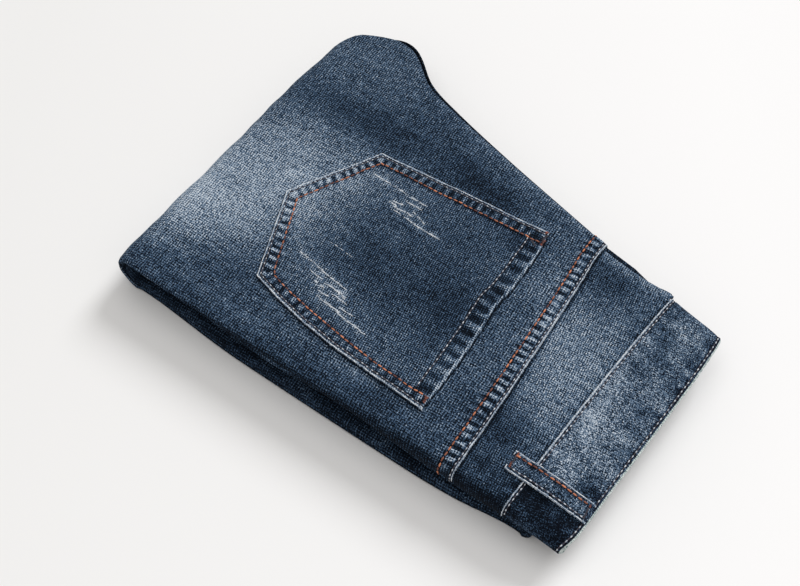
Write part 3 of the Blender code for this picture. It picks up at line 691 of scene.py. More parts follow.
def other_panels():
    """Right front, left front and left back: one under the other, all the way to the hems."""
    seat_along = np.concatenate([np.linspace(300, 40, 66), np.linspace(36, FOLD_RADIUS, 6)])
    at, height, way, part = leg_stations(12, 60, 7, 24)
    side_leg, far_leg, seam_leg, share = leg_edges(at, way, part)
    along = np.concatenate([seat_along, at])
    seat = np.arange(len(along)) < len(seat_along)

    def joined(seat_values, leg_values):
        return np.concatenate([np.broadcast_to(seat_values, seat_along.shape),
                               np.broadcast_to(leg_values, at.shape)])

    seat_edge = read_line(SEAT_LINE, seat_along)
    leg, far_turn, far_half, far_drop = seam_edge(seat_along)
    side = joined(0.0, side_leg)
    turn = joined(read_line(SIDE_TURN, seat_along), LEG_EDGE)
    half = joined(read_line(SIDE_ROLL, seat_along), LEG_ROLL)
    seam = joined(read_line(SIDE_SEAM, seat_along), seam_leg)
    front = joined(read_line(FRONT_DEPTH, seat_along), LEG_FRONT)
    left = joined(read_line(LEFT_DEPTH, seat_along), LEG_LEFT)
    far = joined(seat_edge, far_leg)
    inner_far = joined(seat_edge - 1.2 - 8.0 * (1 - leg), far_leg - 1.2)
    left_side = side + joined(read_line(LEFT_INSET, seat_along),
                              np.where(part == 0, 3.0 * (1 - share) + 0.6, 1.0))
    left_half = (left - front - CLEAR) / 2
    waver = 0.5 * np.sin(along / 13.0) + 0.4 * np.sin(along / 6.1 + 1.0)

    def laid(across, depth):
        """Points at a depth below the outermost face."""
        out_s = joined(0.0, np.sin(way))[:, None]
        out_u = joined(1.0, np.cos(way))[:, None]
        base_s, base_u = column(along), column(joined(STACK, height))
        swell = soft_spots(SWELLS, base_s, across) * column(seat) * np.clip(1 - depth / SEAT_THICK, 0, 1)
        return np.stack([base_s - out_s * depth, across, base_u - out_u * depth + 0.6 * swell], -1)

    run = np.cumsum(np.hypot(np.diff(along, prepend=along[0]),
                             np.diff(joined(STACK, height), prepend=STACK)))
    # painted shade: the hidden panels' base tones below are set near raw indigo, darker than the washed outer
    # cloth, as they lie in the folds' shadow
    made = []
    # right front: from the outer seam under the roll
    across, depth = tucked(side, turn, half, seam, front, inner_far, 46)
    across = across - 0.15 * column(waver) * (np.arange(across.shape[1]) < 6)
    made.append(("right_front_panel", across, depth, (0, 0, -1), 0.05))
    # left front: under it, from the left outer seam near its own roll
    left_seam = left_half * 1.7
    across, depth = tucked(left_side, np.full(along.shape, LEG_EDGE), left_half, left_seam,
                           left_half * 2, inner_far - 0.8, 46)
    made.append(("left_front_panel", across, column(left) - depth, (0, 0, 1), 0.04))
    # left back: outermost below, and out past the right half along the centre back
    left_far = far + joined(2.4 * (1 - leg) - 7.0 * ease((seat_along - 258) / 14), 0.6)
    across, depth = rolled(left_side + 0.2 * waver, np.full(along.shape, LEG_EDGE), left_half, left_seam,
                           left_far, joined(far_turn, LEG_EDGE), joined(far_half, LEG_ROLL),
                           joined(far_drop, LEG_SEAM), 44)
    made.append(("left_back_panel", across, column(left) - depth, (0, 0, -1), 0.06))
    pieces = {}
    for name, across, depth, way_out, base in made:
        points = laid(across, depth)
        uv = np.stack([np.broadcast_to(column(run), across.shape), girth(across, depth)], -1)
        wash_and_shade = base + 0.04 * seat_rolling(column(run), across)
        # painted shadow: the strip of the left back that shows past the right half's centre-back edge is
        # darker
        if name == "left_back_panel":
            wash_and_shade = wash_and_shade - 0.14 * ease((across - column(left_far) + 9) / 6)
        pieces[name] = grid_sheet(name, points, uv, wash_and_shade, twill, (20, 30, way_out))
    return pieces


waist_roping = roping(31, 9.0)


def yoke(name, right):
    """Yoke between the seat and the band, with the same rolled edges as the seat."""
    rows = np.concatenate([np.linspace(-5, 0, 4), np.linspace(1, 8, 8), np.linspace(9.5, 60, 30)])
    part = (rows + 5) / 65
    far_along = 270 + part * 62
    edge = read_line(YOKE_FAR, np.linspace(273, 330.5, len(rows)))
    full = np.ones_like(edge)
    half_seat = SEAT_THICK / 2
    if right:
        across, drop = rolled(full * 0, read_line(SIDE_TURN, far_along), read_line(SIDE_ROLL, far_along),
                              read_line(SIDE_SEAM, far_along), edge, full * 5, full * half_seat,
                              full * (half_seat - 0.25), 150)
    else:
        edge = edge - 1.0 + 3.8 * ease((far_along - 306) / 22)
        across, drop = rolled(full * 8.5, full * LEG_EDGE, full * 3.6, full * 6.0, edge, full * 5,
                              full * half_seat, full * (half_seat - 0.25), 40)
    start = seam_at(YOKE_SEAM, across) - 5
    end = seam_at(WAIST_SEAM, across) - 0.1 + 3.0 * ease((187 - across) / 6) - (0 if right else 2.5)
    along = start + (end - start) * column(part)
    beyond = along - start - 5
    to_band = seam_at(WAIST_SEAM, across) - along
    if right:
        rise = -0.75 * ease((7 - beyond) / 9) - 0.55 * ease((4 - to_band) / 6)
        rise += 0.22 * waist_roping(across) * ease((9 - to_band) / 7)
        up = seat_height(along, across) - drop + rise
        wash_and_shade = tone(along, across)
        # painted shadow: darker just past the seat's raised edge at the yoke seam
        wash_and_shade = wash_and_shade - 0.26 * ease((1.9 - beyond) / 1.4) - 0.06 * ease((7.0 - beyond) / 6)
        # painted shadow: darker just below the band's raised seam
        wash_and_shade -= 0.18 * ease((2.2 - to_band) / 2.0)
        wash_and_shade += 0.08 * waist_roping(across) * ease((9 - to_band) / 7)
        # painted shade: darker where the yoke rolls down over the side edge, away from the light
        wash_and_shade -= 0.24 * ease((drop + 0.2) / 4) * ease((120 - across) / 40)
        # the far edge is painted paler: partly rubbed wear, partly painted light where it turns to the key
        # light
        wash_and_shade += 0.13 * ease((across - column(edge) + 13) / 8)
    else:
        up = SEAT_BASE + drop
        # painted shade: the hidden left yoke is set near raw indigo
        wash_and_shade = np.full(across.shape, 0.06)
    wash_and_shade[:, 0] += 0.2
    points = np.stack([along, across, up], -1)
    uv = np.stack([along, girth(across, drop)], -1)
    return grid_sheet(name, points, uv, wash_and_shade, yoke_twill, (10, 20, UPWARD if right else DOWNWARD))


# ---------------------------------------------------------------- waistband

BAND_ROUTE = (                  # across, up, share of front, share of the left half's shortness
    (165, 27.4, 1, 0), (120, 27.4, 1, 0), (60, 27.4, 1, 0), (26, 27.4, 1, 0), (14, 26.9, 0.8, 0),
    (9.0, 24.6, 0.5, 0), (5.4, 21.2, 0.3, 0), (2.9, 20.2, 0.1, 0), (1.4, 22.6, 0, 0), (1.5, 27.4, 0, 0),
    (3.4, 31.2, 0, 0), (8, 33.2, 0, 0), (15, 33.4, 0, 0), (60, 33.3, 0, 0), (110, 33.3, 0, 0),
    (160, 33.3, 0, 0), (178, 33.3, 0, 0), (184.8, 32.7, 0, 0.1), (188.8, 30.4, 0, 0.25),
    (190.4, 27.0, 0, 0.5), (189.4, 23.4, 0, 0.8), (185.4, 21.1, 0, 0.95), (178, 20.6, 0, 1),
    (120, 20.6, 0, 1), (60, 20.6, 0, 1), (18, 20.6, 0, 1), (10.6, 21.1, 0, 0.8),
    (9.2, 22.4, 0, 0.5), (10.6, 23.6, 0.2, 0.2), (18, 24.1, 1, 0), (60, 24.1, 1, 0), (120, 24.1, 1, 0),
    (165, 24.1, 1, 0))


def press(up, part):
    """Height in the band, pressed flatter from its seam to its edge, where part is one."""
    return SEAT_BASE + (up - SEAT_BASE) * (1.0 - WAIST_PRESS * ease(part))


def sag(along, across):
    """How far the free end of the band hangs, most at the side edge."""
    return SAG * ease((along - 334) / 30) * (0.45 + 0.55 * ease((75 - across) / 55))


def even_route(table, step):
    """A smooth line through the rows of a table, at even steps."""
    rows = np.array(table, float)
    run = np.concatenate([[0], np.cumsum(np.hypot(*np.diff(rows[:, :2], axis=0).T))])
    at = np.linspace(0, run[-1], int(run[-1] / step) + 1)
    return np.stack([read_line(np.stack([run, rows[:, k]], -1), at) for k in range(rows.shape[1])], -1), at


band_top_roping = roping(44, 11.5)
band_low_roping = roping(47, 11.0)


BAND_LOW_ROW, BAND_TOP_ROW = 2.3, 39.9      # the two navy rows, up from the band's seam


def band_ropes(from_seam, from_edge, run):
    """Puckers beside the band's seam and below its edge."""
    low = band_low_roping(run, 0.4 * from_seam) * ease((17 - from_seam) / 13)
    top = band_top_roping(run, 0.4 * from_edge) * ease((11 - from_edge) / 8)
    return low * ease((from_seam - 2) / 3), top * ease((from_edge - 1.5) / 2)


def band_rise(from_seam, from_edge, run):
    """Relief of the band's outer face: the corded fold at its seam and the two stitched rows."""
    low_ropes, top_ropes = band_ropes(from_seam, from_edge, run)
    rise = 0.6 * bell(from_seam, 0.7, 0.7)
    rise -= 0.4 * bell(from_seam, BAND_LOW_ROW, 0.8) + 0.4 * bell(from_edge, 1.7, 0.8)
    return rise + 0.22 * low_ropes + 0.28 * top_ropes


def waistband():
    route, run = even_route(BAND_ROUTE, 1.6)
    across, up, front, left = route.T
    step_a, step_u = np.gradient(across), np.gradient(up)
    length = np.hypot(step_a, step_u)
    out_a, out_u = -step_u / length, step_a / length
    outer = np.concatenate([[0, 0.35, 0.8, 1.3, 1.8, 2.3, 2.9, 3.8], np.linspace(5.4, 35.6, 19),
                            [36.8, 37.8, 38.6, 39.4, 40.0, 40.5, 41.0, 41.35, BAND_DEPTH]]) / BAND_DEPTH
    # the turned-in half of the band stands a little past the outer one
    edge = np.array([1.0, 1.016, 1.024, 1.018])
    edge_out = np.array([0.2, 0.0, -0.45, -0.9])
    inner = np.linspace(0.99, 0.0, 14)
    parts = np.concatenate([outer, edge, inner])
    face = np.concatenate([np.ones(len(outer)), edge_out, -np.ones(len(inner))])
    dip = FRONT_DIP * np.clip(across - 25, 0, None) / 145 * front
    place = column(across) + column(out_a) * face * BAND_WALL / 2
    back = 1 - column(front)
    low = seam_at(WAIST_SEAM, place * back) + 0.15 - column(dip)
    high = seam_at(WAIST_EDGE, place * back) - LEFT_SHORTER * column(left) - column(dip)
    along = low + (high - low) * parts
    from_seam, from_edge = (along - low), (high - along)
    is_outer = (np.arange(len(parts)) < len(outer))[None, :]
    relief = band_rise(from_seam, from_edge, column(run)) * is_outer
    rolls = 0.20 * band_rolling(column(run), from_seam) * is_outer
    relief = relief + rolls * ease(from_seam / 6) * ease(from_edge / 6)
    rounding = -0.3 * (1 - ease(from_edge / 0.7)) * is_outer
    reach = face * BAND_WALL / 2 + relief + rounding
    taper = 1.0 - WAIST_TAPER * np.clip(parts, 0, 1)
    points = np.stack([along, (column(across) + column(out_a) * reach) * taper,
                       press(column(up) + column(out_u) * reach, parts) - sag(along, place)], -1)
    # wash: worn white on the cord and the top edge, dark in the stitched rows; painted shade: the band is
    # darker, and its cord less white, where it rolls down off its top face
    top = ease((column(up) - np.where(column(across) > 100, 25, 30)) / 2.5)
    tones = BARE_TONE + soft_spots(BAND_WASH_AND_SHADE_SPOTS, along, place) * top - 0.18 * (1 - top)
    tones = tones + 0.05 * band_rolling(column(run) * 0.8 + 5, from_seam * 0.8) * is_outer
    tones += 0.56 * bell(from_seam, 0.6, 0.7) * is_outer * (0.5 + 0.5 * top)
    low_ropes, top_ropes = band_ropes(from_seam, from_edge, column(run))
    tones += (0.11 * low_ropes + 0.15 * top_ropes) * is_outer
    tones -= (0.34 * bell(from_seam, BAND_LOW_ROW, 0.9) + 0.34 * bell(from_edge, 1.7, 1.0)) * is_outer
    inside = np.broadcast_to(np.concatenate([np.zeros(len(outer)), np.ones(len(edge) + len(inner))]),
                             along.shape)
    uv = np.stack([np.broadcast_to(column(run), along.shape), along], -1)
    piece = closed_ring("waistband_cloth", points, uv, {"wash_and_shade": raw_least(tones), "inside": inside},
                        band_twill)
    return piece, points, outer * BAND_DEPTH


# ---------------------------------------------------------------- pocket

def inside_of(outline, along, across):
    """Distance in from an outline that bulges outwards all round, and place along it."""
    corners = np.array(outline, float)
    best = np.full(np.broadcast(along, across).shape, 1e9)
    run_at = np.zeros_like(best)
    run = 0.0
    for a, b in zip(corners[:-1], corners[1:]):
        length = np.hypot(*(b - a))
        ux, uy = (b - a) / length
        off = (along - a[0]) * uy - (across - a[1]) * ux
        off = off if (POCKET_MIDDLE[0] - a[0]) * uy - (POCKET_MIDDLE[1] - a[1]) * ux > 0 else -off
        on = (along - a[0]) * ux + (across - a[1]) * uy
        run_at = np.where(off < best, run + on, run_at)
        best = np.minimum(off, best)
        run += length
    return best, run_at


def swapped(table):
    return tuple((across, along) for along, across in table)


pocket_roping = roping(12, 6.8)
hem_roping = roping(18, 10.0)
ROPING_STRENGTH = ((0, 0.45), (130, 0.6), (152, 1.0), (222, 1.0), (296, 0.95), (316, 0.6), (440, 0.5))


def pocket_relief(along, across):
    """Rise above the seat and change of tone, on the pocket."""
    inward, run = inside_of(POCKET_OUTLINE, along, across)
    past_row = inside_of(ORANGE_ROW, along, across)[0]
    down = read_line(swapped(POCKET_OPENING), across) - along
    to_hem_row = along - read_line(swapped(HEM_ROW), across)
    ridge = pocket_roping(run, inward) * read_line(ROPING_STRENGTH, run)
    hem_ridge = hem_roping(across, 0.5 * down)
    sewn = ease((inward - 2.9) / 1.5) * ease((0.4 - past_row) / 1.6)
    beyond = 0.32 * ease((6 - past_row) / 5.0) * ease((past_row + 0.2) / 1.0)
    hem = ease((down - 0.9) / 1.6) * ease((to_hem_row - 0.4) / 2.4) * ease((inward - 3) / 4)
    past_outline = ease((inward - 5) / 3)
    rise = 0.12 + POCKET_LIFT * ease(inward / 0.2) * ease(down / 0.2)
    rise += 0.55 * np.maximum(ease((1.4 - past_row) / 2.0), ease((to_hem_row + 1.8) / 2.2)) \
        * ease(inward / 1.2) * ease(down / 1.2)
    rise += 0.45 * ridge * (sewn + beyond) * ease((down - 1) / 4) + 0.55 * hem_ridge * hem
    # the opening stands a little open where it was used most
    rise += 1.2 * ease(1 - np.hypot((across - 113) / 17, down / 26))
    rows = 0.45 * bell(past_row, 0, ROW_GAP) + 0.40 * bell(inward, FINE_ROW, ROW_GAP)
    rise -= rows + 0.45 * bell(to_hem_row, 0, ROW_GAP) * past_outline
    shade = 0.42 * ridge * (sewn + beyond) - 0.03 * sewn
    shade += (0.22 * hem_ridge - 0.08) * hem
    shade += 0.66 * bell(inward, 0.6, 0.65) * (0.80 + 0.20 * worn_edge(run, 3.0))
    shade += 0.46 * bell(down, 0.9, 1.1) * (0.80 + 0.20 * worn_edge(across, 9.0))
    shade -= 0.38 * bell(inward, FINE_ROW, 0.95) + 0.22 * bell(past_row, 0, 1.1)
    shade -= 0.40 * bell(to_hem_row, 0, 1.0) * past_outline
    shade += 0.08 * bell(to_hem_row, -1.8, 1.0) * past_outline
    # painted shadow: the pocket's outer wall and the low strip past its opening are painted near black, as
    # the shadow at its foot
    shade -= 0.9 * (1 - ease(inward / 0.15)) + 0.45 * (1 - ease(down / 0.15))
    return rise, shade


def pocket_up(along, across):
    return seat_height(along, across) + pocket_relief(along, across)[0]


SCRAPES = (                     # worn streaks: along, across at each end, width, strength
    (109, 157.5, 138, 156, 2.4, 0.7), (140, 155.8, 153, 155.2, 2.6, 0.9), (140, 151, 152, 150.5, 2.4, 0.8),
    (133, 146, 141, 147, 2.6, 0.8), (131, 144, 136, 143.5, 4.0, 0.8), (136, 142, 150, 142.6, 2.6, 0.9),
    (137, 139.4, 144, 139, 2.2, 0.6), (150, 146, 161, 142, 2.4, 0.7), (147, 138.6, 162, 137, 2.2, 0.8),
    (158, 137.4, 177, 137, 3.0, 1.0), (106, 74.6, 127, 71, 2.4, 0.7), (127, 70.4, 150, 67.6, 2.6, 0.8),
    (121, 66.2, 131, 65, 2.4, 0.7), (128, 61.2, 136, 60.6, 2.4, 0.7), (136, 64, 152, 63, 3.4, 1.0),
    (146, 64.5, 152, 61.5, 5.0, 1.0), (134, 57, 143, 56.6, 2.4, 0.7), (137, 52.6, 155, 50.8, 3.2, 1.0),
    (154, 50, 179, 47.4, 2.8, 1.0), (145, 60, 156, 58.4, 2.8, 0.8), (155, 54, 165, 53.6, 2.4, 0.7),
    (119, 92.6, 136, 91.2, 1.4, 0.35))


def pocket():
    rim = np.array([-0.9, -0.4, 0.0, 0.2, 0.5, 0.9, 1.4, 2.1])      # close rows at every edge
    length, width = 175.0, 160.0
    down = np.concatenate([rim, np.linspace(3.1, length - 3.1, 142), length - rim[::-1]]) / length
    down = down.reshape(-1, 1)
    part = np.concatenate([rim, np.linspace(3.1, width - 3.1, 128), width - rim[::-1]]) / width
    first, last = POCKET_OUTLINE[0], POCKET_OUTLINE[-1]
    open_across = first[1] + (last[1] - first[1]) * part
    open_along = read_line(swapped(POCKET_OPENING), open_across)
    low = np.array(POCKET_OUTLINE[-4:-1])
    past = np.minimum(part, 0) - np.maximum(part - 1, 0)
    low_along = np.interp(part, [0, 0.5, 1], low[:, 0]) + 2 * past * (low[1, 0] - low[0, 0])
    low_across = np.interp(part, [0, 0.5, 1], low[:, 1])
    low_across += 2 * np.minimum(part, 0) * (low[1, 1] - low[0, 1]) \
        + 2 * np.maximum(part - 1, 0) * (low[2, 1] - low[1, 1])
    along = open_along + (low_along - open_along) * down
    across = open_across + (low_across - open_across) * down
    side_along = first[0] + (low[0, 0] - first[0]) * down
    side = np.interp(side_along, *np.array(POCKET_OUTLINE[5::-1]).T)
    straight = first[1] + (low[0, 1] - first[1]) * down
    across = across + (side - straight) * (1 - ease(part * 2.2))
    rise, shade = pocket_relief(along, across)
    up = seat_height(along, across) + rise
    points = np.stack([along, across, up], -1)
    wash_and_shade = tone(along, across) + shade
    for s0, t0, s1, t1, width, strength in SCRAPES:
        run = math.hypot(s1 - s0, t1 - t0)
        ux, uy = (s1 - s0) / run, (t1 - t0) / run
        on, off = (along - s0) * ux + (across - t0) * uy, (across - t0) * ux - (along - s0) * uy
        wash_and_shade += 0.12 * strength * bell(off, 0, width) * ease(on / 3 + 0.8) * ease((run - on) / 3 + 0.8)
    uv = np.stack([along, across], -1)
    return grid_sheet("back_pocket_cloth", points, uv, wash_and_shade, pocket_twill, (40, 40, UPWARD), 1.1)


# ---------------------------------------------------------------- belt loops

def band_face(along, across):
    """Outer face of the band and the yoke below it, where the loop lies."""
    seam, edge = seam_at(WAIST_SEAM, across), seam_at(WAIST_EDGE, across)
    on_band = ease((along - seam + 2.0) / 3.0)
    drop = 10.0 * (1 - np.sqrt(np.clip(1 - ((7 - np.clip(across, 0, 7)) / 7) ** 2, 0, 1)))
    yoke_up = STACK - 0.3 - drop * 0.5
    band_up = press(STACK + 0.6, (along - seam) / (edge - seam)) - drop * 0.5 - sag(along, across)
    return yoke_up + (band_up - yoke_up) * on_band


def belt_loop(name, under):
    """A strap of denim folded to three layers, bartacked at both ends and bowed between them."""
    count, around = 46, 32
    part = np.linspace(0, 1, count)
    (s0, t0), (s1, t1) = LOOP_ENDS
    s, t = s0 + (s1 - s0) * part, t0 + (t1 - t0) * part - LOOP_BOW * np.sin(math.pi * part)
    heading = math.atan2(t1 - t0, s1 - s0)
    ring = np.linspace(0, 2 * math.pi, around, endpoint=False) + math.pi / around
    # a flat strap with rounded edges
    wide = np.sign(np.cos(ring)) * np.abs(np.cos(ring)) ** 0.55 * LOOP_WIDTH / 2
    high = np.sign(np.sin(ring)) * np.abs(np.sin(ring)) ** 0.8 * LOOP_WALL / 2
    s_at = column(s) - math.sin(heading) * wide
    t_at = column(t) + math.cos(heading) * wide
    base = band_face(column(s), column(t)) + 0 * wide
    lift = LOOP_RISE * np.sin(math.pi * part) ** 0.8
    waver = 0.1 * column(roping(61, 9)(part * LOOP_LENGTH))
    groove = 0.25 * (bell(wide, LOOP_ORANGE, 0.8) + bell(wide, LOOP_NAVY, 0.8)) * (high > 0)
    if under:
        up = SEAT_BASE - 0.6 - high - LOOP_WALL / 2 - sag(s_at, t_at)
        s_at = LOOP_ENDS[0][0] + (s_at - LOOP_ENDS[0][0]) * 0.9
    else:
        up = base + 0.25 + LOOP_WALL / 2 + column(lift) + high - groove + waver
        up = up - 0.03 * wide**2 * column(np.sin(math.pi * part)) * 0.3
    # the waist end turns down over the edge
    over = ease((column(part) - 0.955) / 0.045)
    up = up + over * (2.2 if under else -2.4)
    points = np.stack([s_at, t_at, up], -1)
    worn = bell(np.abs(wide) - LOOP_WIDTH / 2, -0.3, 0.7) * (high > -0.4)
    # painted shade: the left strap, lying under the band, is painted darker
    wash_and_shade = 0.22 + 0.46 * worn + 0.05 * np.sin(column(part) * 17) - (0.12 if under else 0)
    wash_and_shade = wash_and_shade + 0.10 * roping(62, 7)(column(part) * LOOP_LENGTH + wide) * (np.abs(wide) > 4.0)
    wash_and_shade = wash_and_shade - 0.24 * (bell(wide, LOOP_ORANGE, 0.9) + bell(wide, LOOP_NAVY, 0.9))
    # painted shade: the strap's underside is darker
    wash_and_shade = wash_and_shade - 0.3 * (high < -0.5)
    uv = np.stack([column(part) * LOOP_LENGTH + 0 * wide, 0 * column(part) + wide], -1)
    piece = closed_ring(name, points, uv, {"wash_and_shade": raw_least(wash_and_shade)}, band_twill)
    return piece, points, (s, t, heading)


def fix_outward(piece):
    """Make a closed piece's faces point out."""
    make_active(piece)
    bpy.ops.object.mode_set(mode="EDIT")
    bpy.ops.mesh.select_all(action="SELECT")
    bpy.ops.mesh.normals_make_consistent(inside=False)
    bpy.ops.object.mode_set(mode="OBJECT")
    bpy.ops.object.shade_smooth_by_angle(angle=math.radians(50))


# ---------------------------------------------------------------- sewing

def one_stitch():
    """A plump stitch of thread, a millimetre long and wide, to be stretched and copied."""
    clear_selection()
    bpy.ops.mesh.primitive_uv_sphere_add(segments=6, ring_count=4, radius=0.5)
    ball = bpy.context.object
    bpy.ops.object.mode_set(mode="EDIT")
    bpy.ops.mesh.select_all(action="SELECT")
    bpy.ops.transform.rotate(value=math.pi / 2, orient_axis="Y", center_override=(0, 0, 0))
    bpy.ops.object.mode_set(mode="OBJECT")
    points = np.array([v.co for v in ball.data.vertices], float)
    faces = sorted(list(p.vertices) for p in ball.data.polygons)    # in one order on every run
    bpy.data.objects.remove(ball)
    return points, faces


STITCH_POINTS, STITCH_FACES = one_stitch()


def sewn(name, finish, groups, seed, spread):
    """One piece from groups of threads: (middle, direction, up, length, width, height) in millimetres."""
    draw = np.random.default_rng(seed)
    middle, way, up, length, width, height = (np.concatenate(parts) for parts in zip(*groups))
    count = len(middle)
    side = np.cross(up, way)
    side /= np.maximum(np.linalg.norm(side, axis=1, keepdims=True), 1e-9)
    up = np.cross(way, side)
    local = STITCH_POINTS[None] * np.stack([length, width, height], -1)[:, None, :]
    points = middle[:, None] + local[..., :1] * way[:, None] + local[..., 1:2] * side[:, None] \
        + local[..., 2:] * up[:, None]
    size = len(STITCH_POINTS)
    faces = [[v + k * size for v in face] for k in range(count) for face in STITCH_FACES]
    shade = np.repeat(draw.uniform(-spread, spread, count) + 0.15, size)
    piece = add_mesh(name, points, faces, finish, {"shade": shade})
    piece.data.shade_smooth()
    return piece


def resampled(joined, step, start):
    """Even places along a line whose rows are points and what goes with them, and each one's direction."""
    line = joined[:, :3]
    run = np.concatenate([[0], np.cumsum(np.linalg.norm(np.diff(line, axis=0), axis=1))])
    at = np.arange(start + step / 2, run[-1] - step / 2, step)
    place = np.stack([np.interp(at, run, joined[:, k]) for k in range(joined.shape[1])], -1)
    ahead = np.stack([np.interp(at + 0.7, run, line[:, k]) for k in range(3)], -1)
    back = np.stack([np.interp(at - 0.7, run, line[:, k]) for k in range(3)], -1)
    way = ahead - back
    return place, way / np.maximum(np.linalg.norm(way, axis=1, keepdims=True), 1e-9)


def row_threads(line, ups, pitch=STITCH, fill=0.76, width=1.2, height=0.85, lift=0.18, seed=2, start=0.4):
    """Stitches along a row: middles, directions and sizes."""
    draw = np.random.default_rng(seed)
    place, way = resampled(np.hstack([line, ups]), pitch, start)
    middle, up = place[:, :3], place[:, 3:]
    up = up / np.linalg.norm(up, axis=1, keepdims=True)
    count = len(middle)
    jitter = draw.normal(0, 0.07, (count, 3))
    length = np.full(count, pitch * fill) * draw.uniform(0.92, 1.06, count)
    return [middle + up * lift + jitter, way, up, length, np.full(count, width), np.full(count, height)]


def grid_normals(points):
    a = np.gradient(points, axis=0)
    b = np.gradient(points, axis=1)
    n = np.cross(a, b)
    return n / np.maximum(np.linalg.norm(n, axis=2, keepdims=True), 1e-9)


def straight_up(count):
    return np.tile(UPWARD, (count, 1))


def pocket_line(corners, step=1.0):
    """Points on the pocket's face along straight runs between (along, across) corners."""
    line = []
    for a, b in zip(corners[:-1], corners[1:]):
        count = max(int(math.hypot(b[0] - a[0], b[1] - a[1]) / step), 2)
        for k in range(count):
            line.append((a[0] + (b[0] - a[0]) * k / count, a[1] + (b[1] - a[1]) * k / count))
    line.append(corners[-1])
    line = np.array(line)
    up = pocket_up(line[:, 0], line[:, 1])
    return np.column_stack([line, up]), straight_up(len(line))


def inset_outline(inset):
    """The pocket's sewn outline moved in by inset, as corners."""
    corners = np.array(POCKET_OUTLINE)
    lines = []
    for a, b in zip(corners[:-1], corners[1:]):
        way = (b - a) / np.hypot(*(b - a))
        normal = np.array([-way[1], way[0]])
        if np.dot(POCKET_MIDDLE - a, normal) < 0:
            normal = -normal
        lines.append((a + normal * inset, way))
    found = [lines[0][0]]
    for (p, u), (q, v) in zip(lines[:-1], lines[1:]):
        k = ((q[0] - p[0]) * v[1] - (q[1] - p[1]) * v[0]) / (u[0] * v[1] - u[1] * v[0])
        found.append(p + u * k)
    last, way = lines[-1]
    found.append(last + way * np.hypot(*(corners[-1] - corners[-2])))
    return found


# ---------------------------------------------------------------- make the jeans

def declare(piece, node=None):
    """Rides on the one body, and hides the solid it stands for, if any."""
    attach(piece, "root")
    if node:
        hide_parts(node)


right_back, seat_grid, seat_inward = right_back_panel()
hidden = other_panels()
right_yoke = yoke("right_yoke_cloth", True)
left_yoke = yoke("left_yoke_cloth", False)
band, band_points, band_columns = waistband()
pocket_cloth = pocket()
loop_right, loop_points, loop_line = belt_loop("right_belt_loop_strap", False)
loop_left, _, _ = belt_loop("left_belt_loop_strap", True)
for tube in (band, loop_right, loop_left):
    fix_outward(tube)

# Each piece of cloth: its slot, the solid it stands for, its cut size flat in metres, its area in
# square metres where it isn't a plain strip, and the piece it rests on
for piece, slot_name, node, flat, area, rests in (
        (right_back, "denim", "back_panel_right", (0.268, 1.02), 0.232, "left_back_panel"),
        (hidden["right_front_panel"], "denim_inner", "folded_layers", (0.262, 1.05), 0.236,
         "left_back_panel"),
        (hidden["left_front_panel"], "denim_inner", "folded_layers", (0.262, 1.05), 0.236,
         "left_back_panel"),
        (hidden["left_back_panel"], "denim", "back_panel_left", (0.272, 1.03), 0.240, "right_back_panel"),
        (right_yoke, "denim", "yoke_right", (0.215, 0.070), 0.0125, "right_back_panel"),
        (left_yoke, "denim", "yoke_left", (0.210, 0.070), 0.0122, "left_back_panel"),
        (band, "denim_band", "waistband", (0.735, 0.042), None, "right_yoke_cloth"),
        (pocket_cloth, "denim_pocket", "back_pocket_right", (0.160, 0.175), 0.0240, "right_back_panel"),
        (loop_right, "denim_band", "belt_loop_right", (0.0155, 0.0580), None, "waistband_cloth"),
        (loop_left, "denim_band", "belt_loop_left", (0.0155, 0.0580), None, "waistband_cloth")):
    declare(piece, node)


def facing_up(normals, at):
    """The normals, all turned over if the one that should face up doesn't."""
    return normals if normals[at][2] > 0 else -normals


seat_normals = facing_up(grid_normals(seat_grid), (20, 100))
band_normals = grid_normals(band_points)
loop_s, loop_t, loop_heading = loop_line
strap_top = loop_points[:, :, 2].max(axis=1)


def seat_row_line(inward):
    low = int(np.searchsorted(seat_inward, inward)) - 1
    part = (inward - seat_inward[low]) / (seat_inward[low + 1] - seat_inward[low])
    line = seat_grid[low] * (1 - part) + seat_grid[low + 1] * part
    return line, seat_normals[low]


def band_row_line(distance, keep):
    """A row along the band, at a distance up from its seam, over the part of its route to keep."""
    k = int(np.argmin(np.abs(band_columns - distance)))
    return band_points[keep, k], facing_up(band_normals[:, k], len(band_points) // 3)[keep]


def strap_line(s, t, offset, up):
    """A line on the belt loop, off its middle by offset."""
    line = np.column_stack([s - math.sin(loop_heading) * offset, t + math.cos(loop_heading) * offset, up])
    return line, straight_up(len(line))


def strap_row_line(offset, sunk, first):
    """A row down the belt loop, which ends where the loop turns over the band's edge."""
    line, ups = strap_line(loop_s, loop_t, offset, strap_top - sunk)
    return line[first:-2], ups[first:-2]


# Sizes of the stitches in each kind of row, of their worn tips and of the yarns of a bare edge
ORANGE = {"fill": 0.88, "width": 1.3}
NAVY = {"fill": 0.80, "width": 1.0, "height": 0.6, "lift": 0.04}
HEAVY_NAVY = {"fill": 0.96, "width": 1.35, "height": 0.7, "lift": 0.02}
SMALL_TIP = {"fill": 0.40, "width": 0.75, "height": 0.6, "lift": 0.22, "start": 2.45}
BARE_EDGE = {"pitch": 2.0, "fill": 1.5, "width": 0.7, "height": 0.45, "lift": 0.02}
TIP = {"fill": 0.50, "width": 0.9, "height": 0.7, "lift": 0.2, "start": 2.45}

